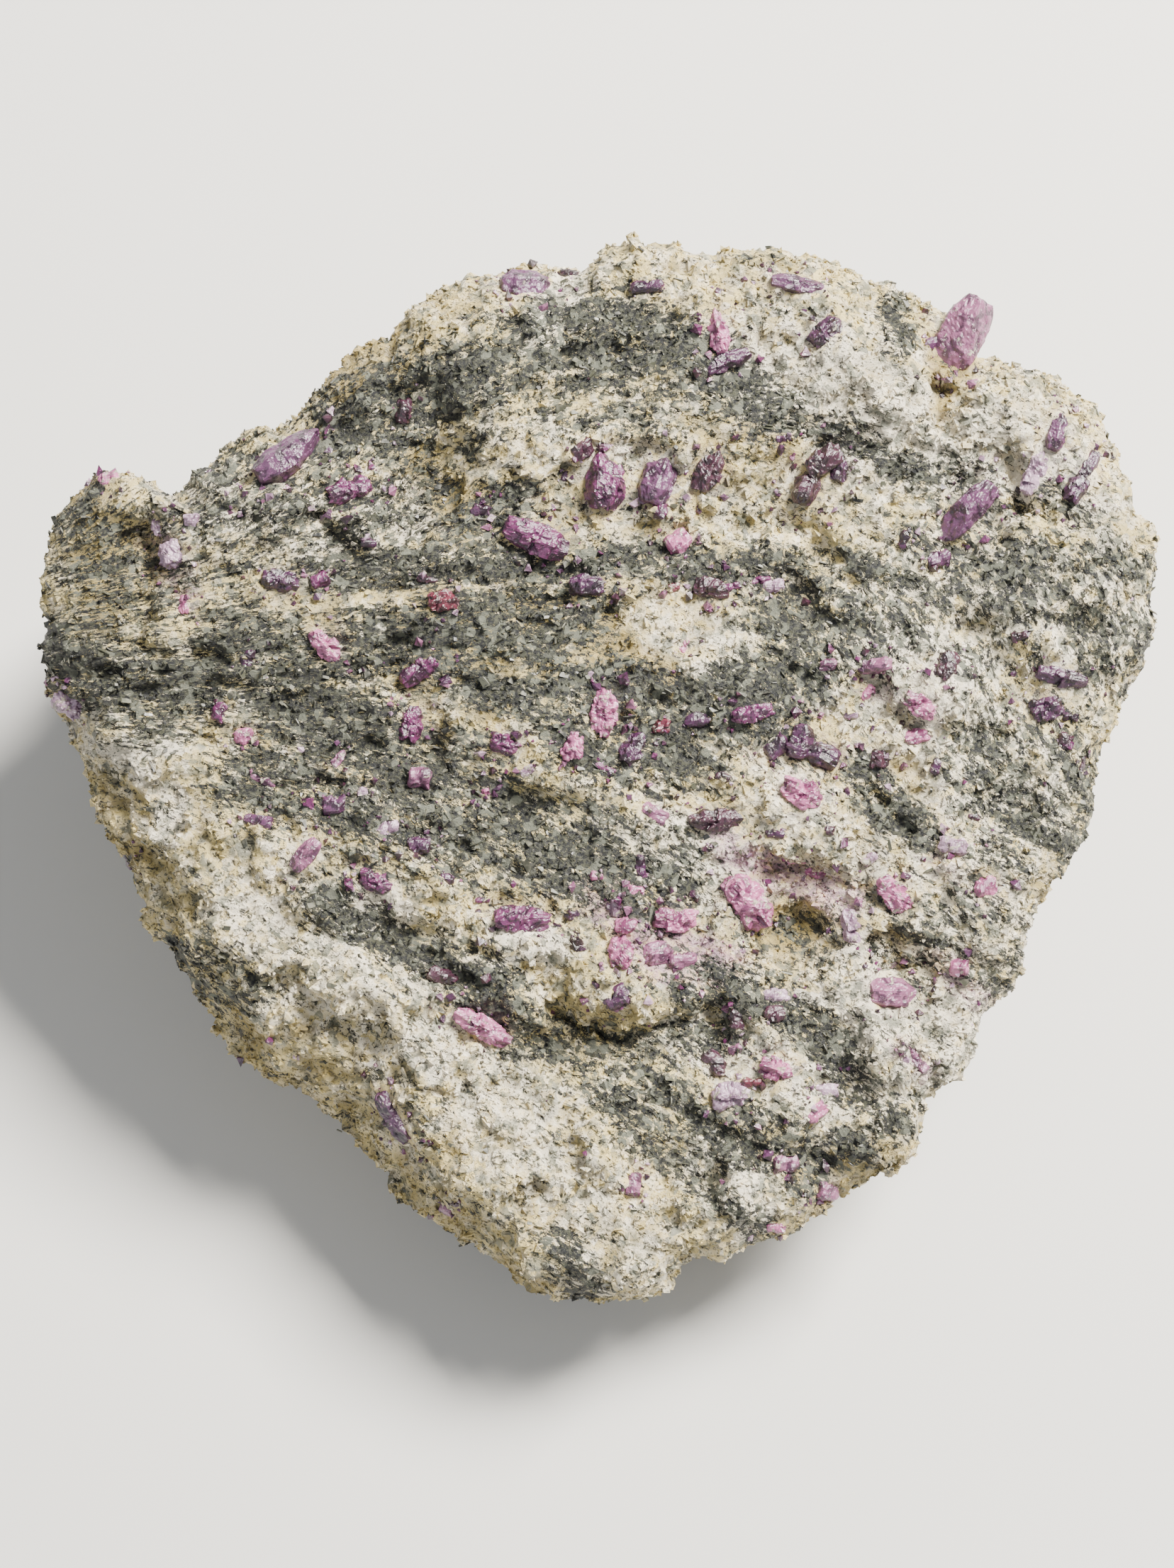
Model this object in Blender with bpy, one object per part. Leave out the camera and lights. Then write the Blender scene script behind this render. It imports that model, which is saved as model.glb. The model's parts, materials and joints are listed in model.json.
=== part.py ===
"""Ruby crystals in a broken block of feldspar and mica rock, lying on its flat underside.

Lengths are millimetres until a mesh is stored, which turns them to metres.
The rich broken face has a frame of its own: u to the right, v up the face, w out of it.
Places on it are given as an eye square in front of it sees them, in millimetres at the face's plane.
The block is a wedge, so the face leans towards the front.
It rests on z = 0, with its box centred on the origin.
"""
import itertools
import math

import bmesh
import bpy
import numpy as np
from mathutils import Matrix, Vector
from mathutils.bvhtree import BVHTree

MM = 0.001

# Driving dimensions
FACE_LEAN = math.radians(18.0)
FACE_HEIGHT = 60.0
FACE_MIDDLE = (2.0, 5.0)
EYE_DISTANCE = 550.0
BOX_CENTRE = (1.796, 7.518)
POCKET_GAP = 0.32

# Fineness of the rock's surface
FACE_CELLS = 32
# Rows of the walls: share of the way down, and shares there of the edge, the waist and the foot
WALL_ROWS = (
    (0.0, 1.0, 0.0, 0.0), (0.12, 0.72, 0.28, 0.0), (0.28, 0.32, 0.68, 0.0), (0.46, 0.05, 0.95, 0.0),
    (0.64, 0.0, 0.70, 0.30), (0.81, 0.0, 0.30, 0.70), (0.94, 0.0, 0.0, 1.0), (1.0, 0.0, 0.0, 0.87),
)

# Outline of the face, anticlockwise from the right-hand side
OUTLINE = (
    (95.4, 16.1), (98.7, 21.1), (100.2, 27.6), (100.5, 34.0), (102.4, 39.1), (100.0, 45.8),
    (97.2, 49.2), (97.2, 52.6), (94.9, 55.2), (92.3, 62.8), (90.0, 66.8), (86.4, 68.9), (81.7, 72.8),
    (75.7, 74.5), (70.6, 76.6), (69.5, 80.5), (65.5, 85.0), (59.0, 87.2), (51.0, 88.9), (43.0, 92.2),
    (33.0, 95.0), (17.2, 95.2), (15.5, 96.9), (7.9, 97.0), (5.3, 95.4), (-1.0, 91.4), (-12.0, 92.5),
    (-20.1, 90.3), (-28.7, 86.9), (-35.9, 78.5), (-39.3, 77.4), (-46.0, 72.3), (-52.0, 65.1),
    (-60.0, 62.6), (-66.4, 56.7), (-74.0, 51.5), (-83.0, 55.2), (-87.2, 55.2), (-93.9, 47.5),
    (-96.1, 42.5), (-96.7, 37.4), (-96.1, 28.5), (-98.1, 23.0), (-95.9, 16.1), (-88.8, 1.9),
    (-83.3, -11.3), (-77.9, -24.5), (-72.4, -32.1), (-62.5, -47.5), (-57.0, -52.4), (-49.3, -55.7),
    (-42.8, -60.1), (-32.9, -72.7), (-20.8, -81.5), (-13.2, -87.0), (-10.1, -90.8), (-6.6, -93.2),
    (9.9, -93.0), (14.3, -88.0), (18.6, -84.2), (24.1, -84.2), (27.4, -81.5), (31.8, -81.3),
    (37.3, -79.3), (48.2, -71.6), (53.7, -69.4), (58.7, -65.6), (60.1, -60.6), (60.1, -56.2),
    (68.0, -49.7), (70.2, -41.4), (75.1, -36.5), (77.3, -32.1), (77.3, -26.1), (80.0, -21.2),
    (84.4, -15.7), (87.7, -10.2), (89.9, -3.6), (89.9, 3.0),
)

# How the face falls away at its edge: direction in degrees, depth of the fall, width it takes
EDGE_FALL = (
    (0, 5.0, 7.0), (60, 5.0, 8.0), (90, 6.0, 8.0), (150, 7.0, 9.0), (180, 9.0, 11.0), (200, 13.0, 13.0),
    (225, 16.0, 14.0), (245, 14.0, 12.0), (260, 8.0, 9.0), (300, 6.0, 8.0), (330, 5.0, 6.0),
)
# The block half way down and at its foot: few corners, because its walls are large broken faces
WAIST = (
    (97.0, 34.0), (80.0, 68.0), (48.0, 86.0), (6.0, 92.0), (-36.0, 72.0), (-83.0, 49.0), (-94.0, 30.0),
    (-86.0, 0.0), (-60.0, -42.0), (-26.0, -72.0), (2.0, -90.0), (43.0, -70.0), (68.0, -42.0), (87.0, -4.0),
)
FOOT = (
    (82.0, 22.0), (74.0, 52.0), (40.0, 76.0), (2.0, 74.0), (-48.0, 60.0), (-84.0, 30.0), (-76.0, -10.0),
    (-46.0, -50.0), (-2.0, -78.0), (40.0, -58.0), (66.0, -22.0),
)

# Lumps of the face, hollows where the height is negative: centre, half sizes, turn in degrees, height
LUMPS = (
    ((-56, 50), (15, 8), 30, 2.6), ((-80, 7), (8, 6), 0, 2.4), ((-42, -36), (11, 7), -25, 4.0),
    ((-28, -46), (7, 8), 0, 3.0), ((-12, -29), (9, 4), 0, 2.4), ((-8, -66), (11, 7), 10, 2.8),
    ((5, -84), (10, 7), 0, 2.6), ((21, -79), (6, 5), 0, 3.0), ((26.3, -71), (3.6, 6.5), 10, 3.4),
    ((54, -47), (7, 7), 0, 3.2), ((46, -34), (4, 8), 0, 2.2), ((53, -64), (7, 6), 0, 2.4),
    ((4, -36), (9, 5), 15, 2.2), ((1, 9), (13, 12), 0, 2.2), ((17, 24), (9, 6), -15, 2.0),
    ((50, 71), (15, 8), 0, 2.4), ((62, 17), (10, 7), 0, 2.4), ((86, 32), (11, 13), 0, 2.0),
    ((-5, 60), (16, 6), 5, 2.0), ((20, 62), (9, 5), 0, 1.8), ((-64, 25), (10, 12), 0, 1.6),
    ((-26, 78), (12, 7), 20, 1.8), ((40, -4), (8, 7), 0, 2.0), ((28, -21), (7, 6), 0, 1.8),
    ((32, -56), (10, 6), 0, 2.0), ((-62, -12), (9, 9), 0, 1.8), ((84, 4), (7, 7), 0, 1.6),
    ((-27, 53), (10, 6), 62, -4.6), ((36, -27), (6.5, 6), 0, -4.0), ((55.5, -30), (6, 4), 0, -3.0),
    ((74, -5), (6, 6), 0, -3.0), ((27, 70), (5, 5), 0, -2.0), ((-7, -34), (3, 5), 10, -2.6),
    ((-18.5, -62), (4, 5), 0, -2.2), ((41, -69), (4, 5), 0, -2.0), ((66, 28), (6, 4), -20, -2.0),
    ((-66, -34), (6, 5), 0, -1.8), ((-2, -47), (12, 4), -5, -2.2), ((9, -60), (5, 9), 20, -1.6),
    ((-88, 37), (4, 5), 0, -1.6), ((92, 60), (4, 4), 0, -1.5), ((57, 2), (3.5, 3.5), 0, -1.6),
)
# Cracks and channels of the face: half width, depth, points along the middle
CRACKS = (
    (3.0, 2.4, ((-76.8, 48.0), (-76.5, 44.0), (-76.5, 36.0), (-78.5, 26.0))),
    (2.4, 4.0, ((64.0, 73.5), (62.8, 68.0), (62.2, 61.0))),
    (1.8, 2.6, ((74.5, 59.0), (76.5, 52.0), (77.5, 46.0))),
    (1.6, 2.6, ((-11.0, -38.0), (0.0, -43.0), (7.0, -45.0), (14.0, -42.0), (28.0, -39.5))),
    (1.4, 2.0, ((-23.0, -28.0), (-18.0, -30.0), (-13.0, -32.0), (-8.0, -31.5))),
    (1.5, 2.0, ((49.5, 1.0), (53.0, -4.0), (59.0, -10.0))),
    (1.4, 1.6, ((-56.0, -2.0), (-50.0, 0.4), (-42.0, 0.0))),
)
# Ledges: drop to the right of the way the points run, distance over which the ground climbs back, points
LEDGES = (
    (3.4, 24.0, ((-76.5, 49.0), (-76.5, 38.0), (-77.0, 22.0))),
    (4.5, 12.0, ((-52.0, -30.0), (-47.0, -38.0), (-41.0, -43.5), (-33.0, -43.5), (-33.0, -38.0))),
    (2.8, 14.0, ((-9.0, -37.0), (0.0, -42.0), (7.0, -43.5), (14.0, -41.0), (26.0, -38.5))),
    (2.4, 10.0, ((50.0, -32.0), (62.0, -31.0))),
    (2.2, 8.0, ((31.0, -22.0), (38.0, -21.0), (44.0, -24.0))),
)
# Broken relief of the block: size of its facets, height, seed
FACE_RELIEF = ((24.0, 2.2, 11), (12.0, 1.5, 12))
WALL_RELIEF = ((40.0, 5.0, 21), (18.0, 1.8, 22))
# How narrow the bands between facets are: a higher number gives sharper corners
FACE_CORNERS = 18.0
WALL_CORNERS = 30.0

# Ruby crystals that show on the face. Each is one prism, or several grown together in one.
# A prism is: u, v, length, width, turn in degrees, dip of its axis in degrees, roll in degrees, tint
RUBIES = (
    ((-53.0, 58.5, 12.5, 6.2, 38, 4, 0, "violet"),),
    ((-42.0, 52.3, 7.2, 4.6, 15, 8, 30, "magenta"),),
    ((-73.6, 41.0, 5.6, 5.0, 80, 10, 0, "lilac"),),
    ((-54.6, 36.2, 5.6, 3.7, -10, 8, 0, "purple"),),
    ((-46.3, 24.4, 6.4, 3.6, -48, 5, 0, "pink"),),
    ((-29.4, 20.3, 7.6, 3.7, 37, 6, 0, "magenta"),),
    ((-31.3, 10.8, 5.8, 4.3, 78, 8, 30, "magenta"),),
    ((-25.8, 32.5, 5.0, 3.6, 0, 12, 0, "garnet"),),
    ((-11.0, 88.6, 8.2, 6.0, 8, 10, 0, "violet"),),
    ((23.2, 80.6, 7.2, 3.6, 100, 8, 0, "pink"),),
    ((25.0, 75.0, 8.4, 3.2, 22, 4, 0, "purple"),),
    ((3.3, 53.8, 9.6, 6.6, 84, 6, 30, "magenta"),),
    ((12.6, 53.6, 8.2, 6.4, 70, 14, 0, "violet"),),
    ((21.6, 55.4, 7.0, 4.8, 62, 8, 0, "plum"),),
    ((-9.0, 43.5, 10.6, 5.6, -25, 5, 0, "magenta"),),
    ((0.5, 35.0, 6.4, 4.0, 0, 6, 30, "purple"),),
    ((22.0, 34.8, 5.6, 3.8, -8, 8, 0, "plum"),),
    ((66.6, 79.8, 13.0, 8.6, 60, -6, 0, "mauve"),),
    ((42.3, 80.2, 5.4, 4.2, 40, 10, 0, "purple"),),
    ((37.5, 88.7, 9.0, 3.2, -6, 4, 0, "violet"),),
    ((42.0, 57.2, 6.4, 4.4, 30, 8, 0, "plum"), (39.0, 52.6, 5.4, 4.2, 70, 6, 30, "magenta")),
    ((83.5, 62.5, 6.2, 3.4, 75, 6, 0, "violet"),),
    ((79.4, 55.2, 7.4, 3.6, 66, 8, 0, "lilac"),),
    ((88.0, 54.6, 9.6, 3.8, 60, 6, 30, "purple"),),
    ((67.5, 48.5, 12.0, 5.2, 45, 5, 0, "violet"),),
    ((-14.5, 7.1, 5.4, 4.0, -20, 10, 30, "magenta"),),
    ((-91.8, 14.0, 6.6, 4.4, -12, 6, 0, "lilac"),),
    ((2.9, 12.8, 8.0, 4.6, 82, 5, 0, "pink"),),
    ((-2.5, 6.8, 5.0, 3.5, 80, 6, 0, "pink"),),
    ((8.3, 6.2, 5.4, 4.0, 52, 8, 30, "purple"),),
    ((29.2, 12.6, 6.8, 3.0, 12, 5, 0, "magenta"),),
    ((38.2, 7.3, 5.6, 4.4, 70, 8, 0, "purple"), (42.0, 5.2, 5.4, 4.2, -20, 6, 30, "pink")),
    ((63.8, 21.0, 5.4, 4.6, 65, 10, 30, "plum"),),
    ((59.2, 14.0, 6.2, 3.6, -35, 6, 0, "pink"),),
    ((84.4, 19.0, 8.4, 3.3, -12, 5, 0, "purple"),),
    ((81.4, 13.4, 5.4, 4.6, 20, 10, 0, "purple"),),
    ((-50.0, -12.6, 6.2, 3.6, 50, 6, 0, "mauve"),),
    ((-37.6, -17.4, 5.6, 3.9, -20, 8, 30, "magenta"),),
    ((-11.5, -24.0, 9.0, 5.0, -4, 8, 0, "magenta"),),
    ((-19.0, -43.0, 10.4, 3.7, -32, 4, 0, "pink"),),
    ((-34.4, -59.4, 9.2, 4.2, -58, 4, 30, "purple"),),
    ((38.0, -1.6, 6.4, 4.8, -30, 8, 0, "pink"),),
    ((23.0, -6.3, 8.6, 4.0, 4, 6, 0, "plum"),),
    ((28.9, -21.0, 9.6, 6.6, -52, 10, 0, "pink"),),
    ((15.7, -24.0, 7.0, 4.4, 0, 8, 0, "pink"),),
    ((6.1, -30.0, 5.2, 4.5, 80, 10, 0, "pink"),),
    ((12.3, -30.1, 5.2, 4.4, 10, 12, 0, "mauve"),),
    ((54.4, -19.6, 6.6, 4.2, -50, 6, 0, "pink"),),
    ((46.9, -25.6, 7.2, 3.2, -78, 5, 30, "lilac"),),
    ((53.9, -37.0, 8.0, 5.6, 5, 12, 0, "mauve"),),
    ((33.7, -50.9, 5.8, 4.3, -20, 8, 0, "pink"),),
    ((25.3, -55.4, 6.2, 4.8, 10, 10, 0, "lilac"),),
)
# Share of a prism's half width that its axis lies under the rock's surface
SUNK_SHARE = 0.34
# Each end of a prism: how far its flat face is drawn in, in widths, and its share of the length
END_INSET = 0.16
END_SHARE = 0.25
# Width from which a crystal has a chip, and how far from its axis the chip lies, in widths
WIDTH_TO_CHIP = 4.4
CHIP_PLACE = (0.38, 0.44)

TINTS = {
    "magenta": (0.20, 0.030, 0.115), "violet": (0.26, 0.075, 0.23), "purple": (0.085, 0.025, 0.10),
    "plum": (0.085, 0.022, 0.06), "pink": (0.50, 0.16, 0.33), "lilac": (0.42, 0.27, 0.42),
    "mauve": (0.33, 0.13, 0.22), "garnet": (0.18, 0.03, 0.04),
}
ROCK_COLOUR = (0.36, 0.33, 0.25)


def by_direction(table, angle, column):
    """A value of a table whose first column is a direction in degrees, straight between its rows."""
    rows = np.array(table, float)
    return np.interp(np.degrees(angle) % 360.0, rows[:, 0], rows[:, column], period=360.0)


def reach_to(angle, shape):
    """Distance from the face's middle to a straight-sided shape round it, in directions given in radians."""
    corners = np.array(shape) - FACE_MIDDLE
    corners = corners[np.argsort(np.arctan2(corners[:, 1], corners[:, 0]))]
    after = np.searchsorted(np.arctan2(corners[:, 1], corners[:, 0]), angle) % len(corners)
    x, y = corners[after - 1].T
    to_x, to_y = corners[after].T
    return (x * to_y - y * to_x) / (np.cos(angle) * (to_y - y) - np.sin(angle) * (to_x - x))


def even_reach(angle):
    """The outline without its small corners: the mean reach and its first four waves."""
    turn = np.linspace(-math.pi, math.pi, 360, endpoint=False)
    reach = reach_to(turn, OUTLINE)
    smooth = np.full_like(angle, reach.mean())
    for wave in range(1, 5):
        smooth += 2 * (reach * np.cos(wave * turn)).mean() * np.cos(wave * angle)
        smooth += 2 * (reach * np.sin(wave * turn)).mean() * np.sin(wave * angle)
    return smooth


def ramp(value, low, high):
    """Rises smoothly from 0 at low to 1 at high."""
    share = np.clip((value - low) / (high - low), 0.0, 1.0)
    return share * share * (3.0 - 2.0 * share)


def broken_relief(points, size, seed, corners):
    """Relief of broken rock, about -1 to 1, at points in space.

    Space is parted into uneven cells of about the given size.
    Each cell has a height and a slope of its own.
    A point takes those of its nearest cell, blended with the next ones in a narrow band between them.
    """
    traits_of = np.random.default_rng(seed).uniform(-1.0, 1.0, (4096, 7))
    scaled = points / size
    home = np.floor(scaled).astype(np.int64)
    total = np.zeros(len(points))
    weight = np.zeros(len(points))
    for step in itertools.product((-1, 0, 1), repeat=3):
        cell = home + step
        traits = traits_of[(cell @ np.array((73856093, 19349663, 83492791))) % 4096]
        offset = scaled - cell - 0.5 - 0.4 * traits[:, :3]
        share = np.exp(-corners * (offset ** 2).sum(1))
        total += share * (0.5 * traits[:, 3] + 0.9 * (offset * traits[:, 4:]).sum(1))
        weight += share
    return total / weight


def from_path(u, v, path):
    """Distance to a path of straight runs, positive on its left, negative on its right, and the share along.
    """
    corners = np.array(path, float)
    lengths = np.hypot(*np.diff(corners, axis=0).T)
    before = np.concatenate([[0.0], np.cumsum(lengths)])
    nearest = np.full(u.shape, 1e9)
    signed = np.zeros(u.shape)
    along = np.zeros(u.shape)
    for start, end, length, travelled in zip(corners[:-1], corners[1:], lengths, before):
        way = (end - start) / length
        du = u - start[0]
        dv = v - start[1]
        share = np.clip(du * way[0] + dv * way[1], 0.0, length)
        distance = np.hypot(du - share * way[0], dv - share * way[1])
        side = np.where(way[0] * dv - way[1] * du >= 0.0, 1.0, -1.0)
        closer = distance < nearest
        nearest = np.where(closer, distance, nearest)
        signed = np.where(closer, side * distance, signed)
        along = np.where(closer, (travelled + share) / before[-1], along)
    return signed, along


def lump(u, v, centre, half_sizes, turn, height):
    """A mound with a broad top and steep flanks.

    Its height falls with e to the minus cube of the distance, counted in half sizes.
    """
    angle = math.radians(turn)
    du = u - centre[0]
    dv = v - centre[1]
    along = (du * math.cos(angle) + dv * math.sin(angle)) / half_sizes[0]
    across = (dv * math.cos(angle) - du * math.sin(angle)) / half_sizes[1]
    return height * np.exp(-((along ** 2 + across ** 2) ** 1.5))


def crack(u, v, half_width, depth, path):
    """A groove with a bell section that runs out at its ends."""
    signed, along = from_path(u, v, path)
    ends = ramp(along, 0.0, 0.15) * ramp(along, 1.0, 0.85)
    return -depth * ends * np.exp(-((signed / half_width) ** 2))


def ledge(u, v, drop, climb, path):
    """A step down on the right of a path, from which the ground climbs back; it fades at the path's ends."""
    signed, along = from_path(u, v, path)
    ends = ramp(along, 0.0, 0.12) * ramp(along, 1.0, 0.88)
    return -drop * ends * ramp(signed, 1.0, -1.5) * np.exp(-np.maximum(-signed, 0.0) / climb)


def face_height(u, v):
    """Height of the broken face over its own plane at places on it."""
    du = u - FACE_MIDDLE[0]
    dv = v - FACE_MIDDLE[1]
    angle = np.arctan2(dv, du)
    inside = reach_to(angle, OUTLINE) - np.hypot(du, dv)
    fall = np.clip(1.0 - inside / by_direction(EDGE_FALL, angle, 2), 0.0, 1.2)
    height = -by_direction(EDGE_FALL, angle, 1) * fall ** 2
    for traits in LUMPS:
        height += lump(u, v, *traits)
    for traits in CRACKS:
        height += crack(u, v, *traits)
    for traits in LEDGES:
        height += ledge(u, v, *traits)
    points = np.stack([u, v, np.zeros_like(u)], 1)
    for size, tall, seed in FACE_RELIEF:
        height += tall * broken_relief(points, size, seed, FACE_CORNERS)
    return height


def to_world(face_points):
    """Turns points of the face's frame into the world's, still in millimetres."""
    u, v, w = face_points.T
    y = v * math.cos(FACE_LEAN) - w * math.sin(FACE_LEAN)
    z = FACE_HEIGHT + v * math.sin(FACE_LEAN) + w * math.cos(FACE_LEAN)
    return np.stack([u - BOX_CENTRE[0], y - BOX_CENTRE[1], z], 1)


def floor_level(v):
    """The w of the surface that the block rests on, straight under a place on the face."""
    return -(FACE_HEIGHT + v * math.sin(FACE_LEAN)) / math.cos(FACE_LEAN)


def disc_from_square(a, b):
    """Share of the reach and direction for places on a square: each ring of the square becomes a circle."""
    wide = np.abs(a) > np.abs(b)
    reach = np.where(wide, a, b)
    safe = np.where(reach == 0.0, 1.0, reach)
    angle = np.where(wide, math.pi / 4 * b / safe, math.pi / 2 - math.pi / 4 * a / safe)
    turned = np.where(reach < 0.0, angle + math.pi, angle)
    return np.abs(reach), np.arctan2(np.sin(turned), np.cos(turned))


def rock_points(a, b, row):
    """World places of the rock's vertices from their places on a square and their wall row, 0 on the face.

    The face is the square turned into the outline's shape and raised by its height.
    A wall row lies its share of the way down, square to the face, on a blend of edge, waist and foot.
    """
    share, angle = disc_from_square(a, b)
    blend = ramp(share, 0.55, 1.0)
    reach = share * (even_reach(angle) * (1.0 - blend) + reach_to(angle, OUTLINE) * blend)
    u = FACE_MIDDLE[0] + reach * np.cos(angle)
    v = FACE_MIDDLE[1] + reach * np.sin(angle)
    w = face_height(u, v)
    u = u * (1.0 - w / EYE_DISTANCE)
    v = v * (1.0 - w / EYE_DISTANCE)
    depth, of_edge, of_waist, of_foot = np.array(WALL_ROWS)[row].T
    edge = np.hypot(u - FACE_MIDDLE[0], v - FACE_MIDDLE[1])
    wall = edge * of_edge + reach_to(angle, WAIST) * of_waist + reach_to(angle, FOOT) * of_foot
    guide = np.stack([wall * np.cos(angle), wall * np.sin(angle), w + depth * (floor_level(v) - w)], 1)
    for size, deep, seed in WALL_RELIEF:
        wall -= ramp(depth, 0.0, 0.3) * deep * broken_relief(guide, size, seed, WALL_CORNERS)
    u = np.where(row > 0, FACE_MIDDLE[0] + wall * np.cos(angle), u)
    v = np.where(row > 0, FACE_MIDDLE[1] + wall * np.sin(angle), v)
    world = to_world(np.stack([u, v, w + depth * (floor_level(v) - w)], 1))
    world[depth == 1.0, 2] = 0.0
    return world


def rock_mesh():
    """The block as one closed shape: a grid for the face, rows pulled down for the walls, a flat foot."""
    shape = bmesh.new()
    bmesh.ops.create_grid(shape, x_segments=FACE_CELLS, y_segments=FACE_CELLS, size=1.0)
    rim = [edge for edge in shape.edges if edge.is_boundary]
    for row in range(1, len(WALL_ROWS)):
        pulled = bmesh.ops.extrude_edge_only(shape, edges=rim)["geom"]
        for vertex in (part for part in pulled if isinstance(part, bmesh.types.BMVert)):
            vertex.co.z = row
        rim = [part for part in pulled if isinstance(part, bmesh.types.BMEdge) and part.is_boundary]
    bmesh.ops.edgeloop_fill(shape, edges=rim)
    grid = np.array([vertex.co for vertex in shape.verts])
    world = rock_points(grid[:, 0], grid[:, 1], grid[:, 2].round().astype(int))
    for vertex, place in zip(shape.verts, world):
        vertex.co = place
    bmesh.ops.triangulate(shape, faces=shape.faces[:])
    bmesh.ops.recalc_face_normals(shape, faces=shape.faces[:])
    return shape


def seen_on(tree, u, v):
    """The point of the rock that the eye sees at a place on the face, or None beside the rock."""
    eye = Vector(to_world(np.array([[0.0, 0.0, EYE_DISTANCE]]))[0])
    aim = Vector(to_world(np.array([[u, v, 0.0]]))[0])
    return tree.ray_cast(eye, aim - eye)[0]


def prism_frame(tree, u, v, length, width, turn, dip, roll):
    """Place and turn of a prism: on the rock, along its slope, sunk by its share, its Z along its axis."""
    way = math.radians(turn)
    along = Vector((math.cos(way), math.sin(way) * math.cos(FACE_LEAN), math.sin(way) * math.sin(FACE_LEAN)))
    out = Vector((0.0, -math.sin(FACE_LEAN), math.cos(FACE_LEAN)))
    step = 0.42 * length
    aside = 0.5 * width
    middle = seen_on(tree, u, v)
    ahead = seen_on(tree, u + step * math.cos(way), v + step * math.sin(way))
    behind = seen_on(tree, u - step * math.cos(way), v - step * math.sin(way))
    left = seen_on(tree, u - aside * math.sin(way), v + aside * math.cos(way))
    right = seen_on(tree, u + aside * math.sin(way), v - aside * math.cos(way))
    if ahead and behind and left and right:
        slope = (ahead - behind).cross(left - right).normalized()
        out = (slope + 0.5 * out).normalized()
        middle = (2.0 * middle + ahead + behind) / 4.0
    along = (along - out * along.dot(out)).normalized()
    axis = along * math.cos(math.radians(dip)) - out * math.sin(math.radians(dip))
    side = out.cross(axis).normalized()
    up = axis.cross(side)
    basis = Matrix((side, up, axis)).transposed().to_4x4()
    centre = middle - out * SUNK_SHARE * 0.5 * width
    return Matrix.Translation(centre) @ basis @ Matrix.Rotation(math.radians(roll), 4, "Z")


def prism_shape(shape, frame, length, width, grown):
    """Adds one corundum prism to a shape: six flat sides, both ends drawn in to a flat basal face.

    It is moved out by the length grown on every side, for the pocket that it sits in.
    """
    radius = 0.5 * width + grown / math.cos(math.pi / 6)
    straight = (1.0 - 2.0 * END_SHARE) * length + 2.0 * grown
    before = set(shape.verts)
    bmesh.ops.create_cone(shape, segments=6, cap_ends=True, radius1=radius, radius2=radius, depth=straight)
    ends = [face for face in shape.faces if len(face.verts) == 6 and not before & set(face.verts)]
    bmesh.ops.inset_individual(
        shape, faces=ends, thickness=END_INSET * width, depth=END_SHARE * length, use_even_offset=True)
    fresh = [vertex for vertex in shape.verts if vertex not in before]
    bmesh.ops.transform(shape, matrix=frame, verts=fresh)
    return shape


def chipped(shape, frame, width, seed):
    """Cuts one flat chip off a crystal that is wide enough for it to show."""
    if width < WIDTH_TO_CHIP:
        return shape
    rng = np.random.default_rng(seed)
    turn = rng.uniform(0.0, 2.0 * math.pi)
    local = Vector((math.cos(turn), math.sin(turn), rng.uniform(-0.6, 0.6))).normalized()
    normal = frame.to_3x3() @ local
    place = frame.translation + normal * rng.uniform(*CHIP_PLACE) * width
    parts = [*shape.verts, *shape.edges, *shape.faces]
    cut = bmesh.ops.bisect_plane(
        shape, geom=parts, plane_co=place, plane_no=normal, clear_outer=True, dist=1e-5)
    border = [part for part in cut["geom_cut"] if isinstance(part, bmesh.types.BMEdge)]
    if border:
        bmesh.ops.edgeloop_fill(shape, edges=border)
    return shape


def add_object(name, shape, material=None):
    """Stores a shape in metres as a named object, faces outwards."""
    bmesh.ops.scale(shape, vec=(MM, MM, MM), verts=shape.verts[:])
    bmesh.ops.recalc_face_normals(shape, faces=shape.faces[:])
    mesh = bpy.data.meshes.new(name)
    shape.to_mesh(mesh)
    shape.free()
    thing = bpy.data.objects.new(name, mesh)
    bpy.context.scene.collection.objects.link(thing)
    if material:
        mesh.materials.append(material)
    return thing


def mineral(name, colour, roughness):
    """A plain mineral finish."""
    material = bpy.data.materials.new(name)
    material.use_nodes = True
    shader = material.node_tree.nodes["Principled BSDF"]
    shader.inputs["Base Color"].default_value = (*colour, 1.0)
    shader.inputs["Roughness"].default_value = roughness
    shader.inputs["Metallic"].default_value = 0.0
    return material


def join_with(thing, tool, operation):
    """Joins a tool to a thing, or cuts it out, and hides the tool."""
    step = thing.modifiers.new(operation.lower(), "BOOLEAN")
    step.object = tool
    step.operation = operation
    step.solver = "EXACT"
    step.use_self = True
    tool.hide_render = True
    tool.display_type = "WIRE"


def build():
    """Makes the rock, its crystals and the pockets that the crystals sit in."""
    for thing in list(bpy.data.objects):
        bpy.data.objects.remove(thing)
    finishes = {tint: mineral("ruby_" + tint, colour, 0.3) for tint, colour in TINTS.items()}
    block = rock_mesh()
    tree = BVHTree.FromBMesh(block)
    rock = add_object("matrix_rock", block, mineral("feldspar_mica_rock", ROCK_COLOUR, 0.85))
    pockets = bmesh.new()
    for number, prisms in enumerate(RUBIES, 1):
        shapes = []
        for *traits, _ in prisms:
            frame = prism_frame(tree, *traits)
            prism = prism_shape(bmesh.new(), frame, *traits[2:4], 0.0)
            shapes.append(chipped(prism, frame, traits[3], number))
            prism_shape(pockets, frame, *traits[2:4], POCKET_GAP)
        name = f"ruby_crystal_{number:02d}"
        crystal = add_object(name, shapes[0], finishes[prisms[0][-1]])
        for shape in shapes[1:]:
            join_with(crystal, add_object(name + "_branch", shape), "UNION")
    join_with(rock, add_object("ruby_pockets", pockets), "DIFFERENCE")


build()
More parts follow.
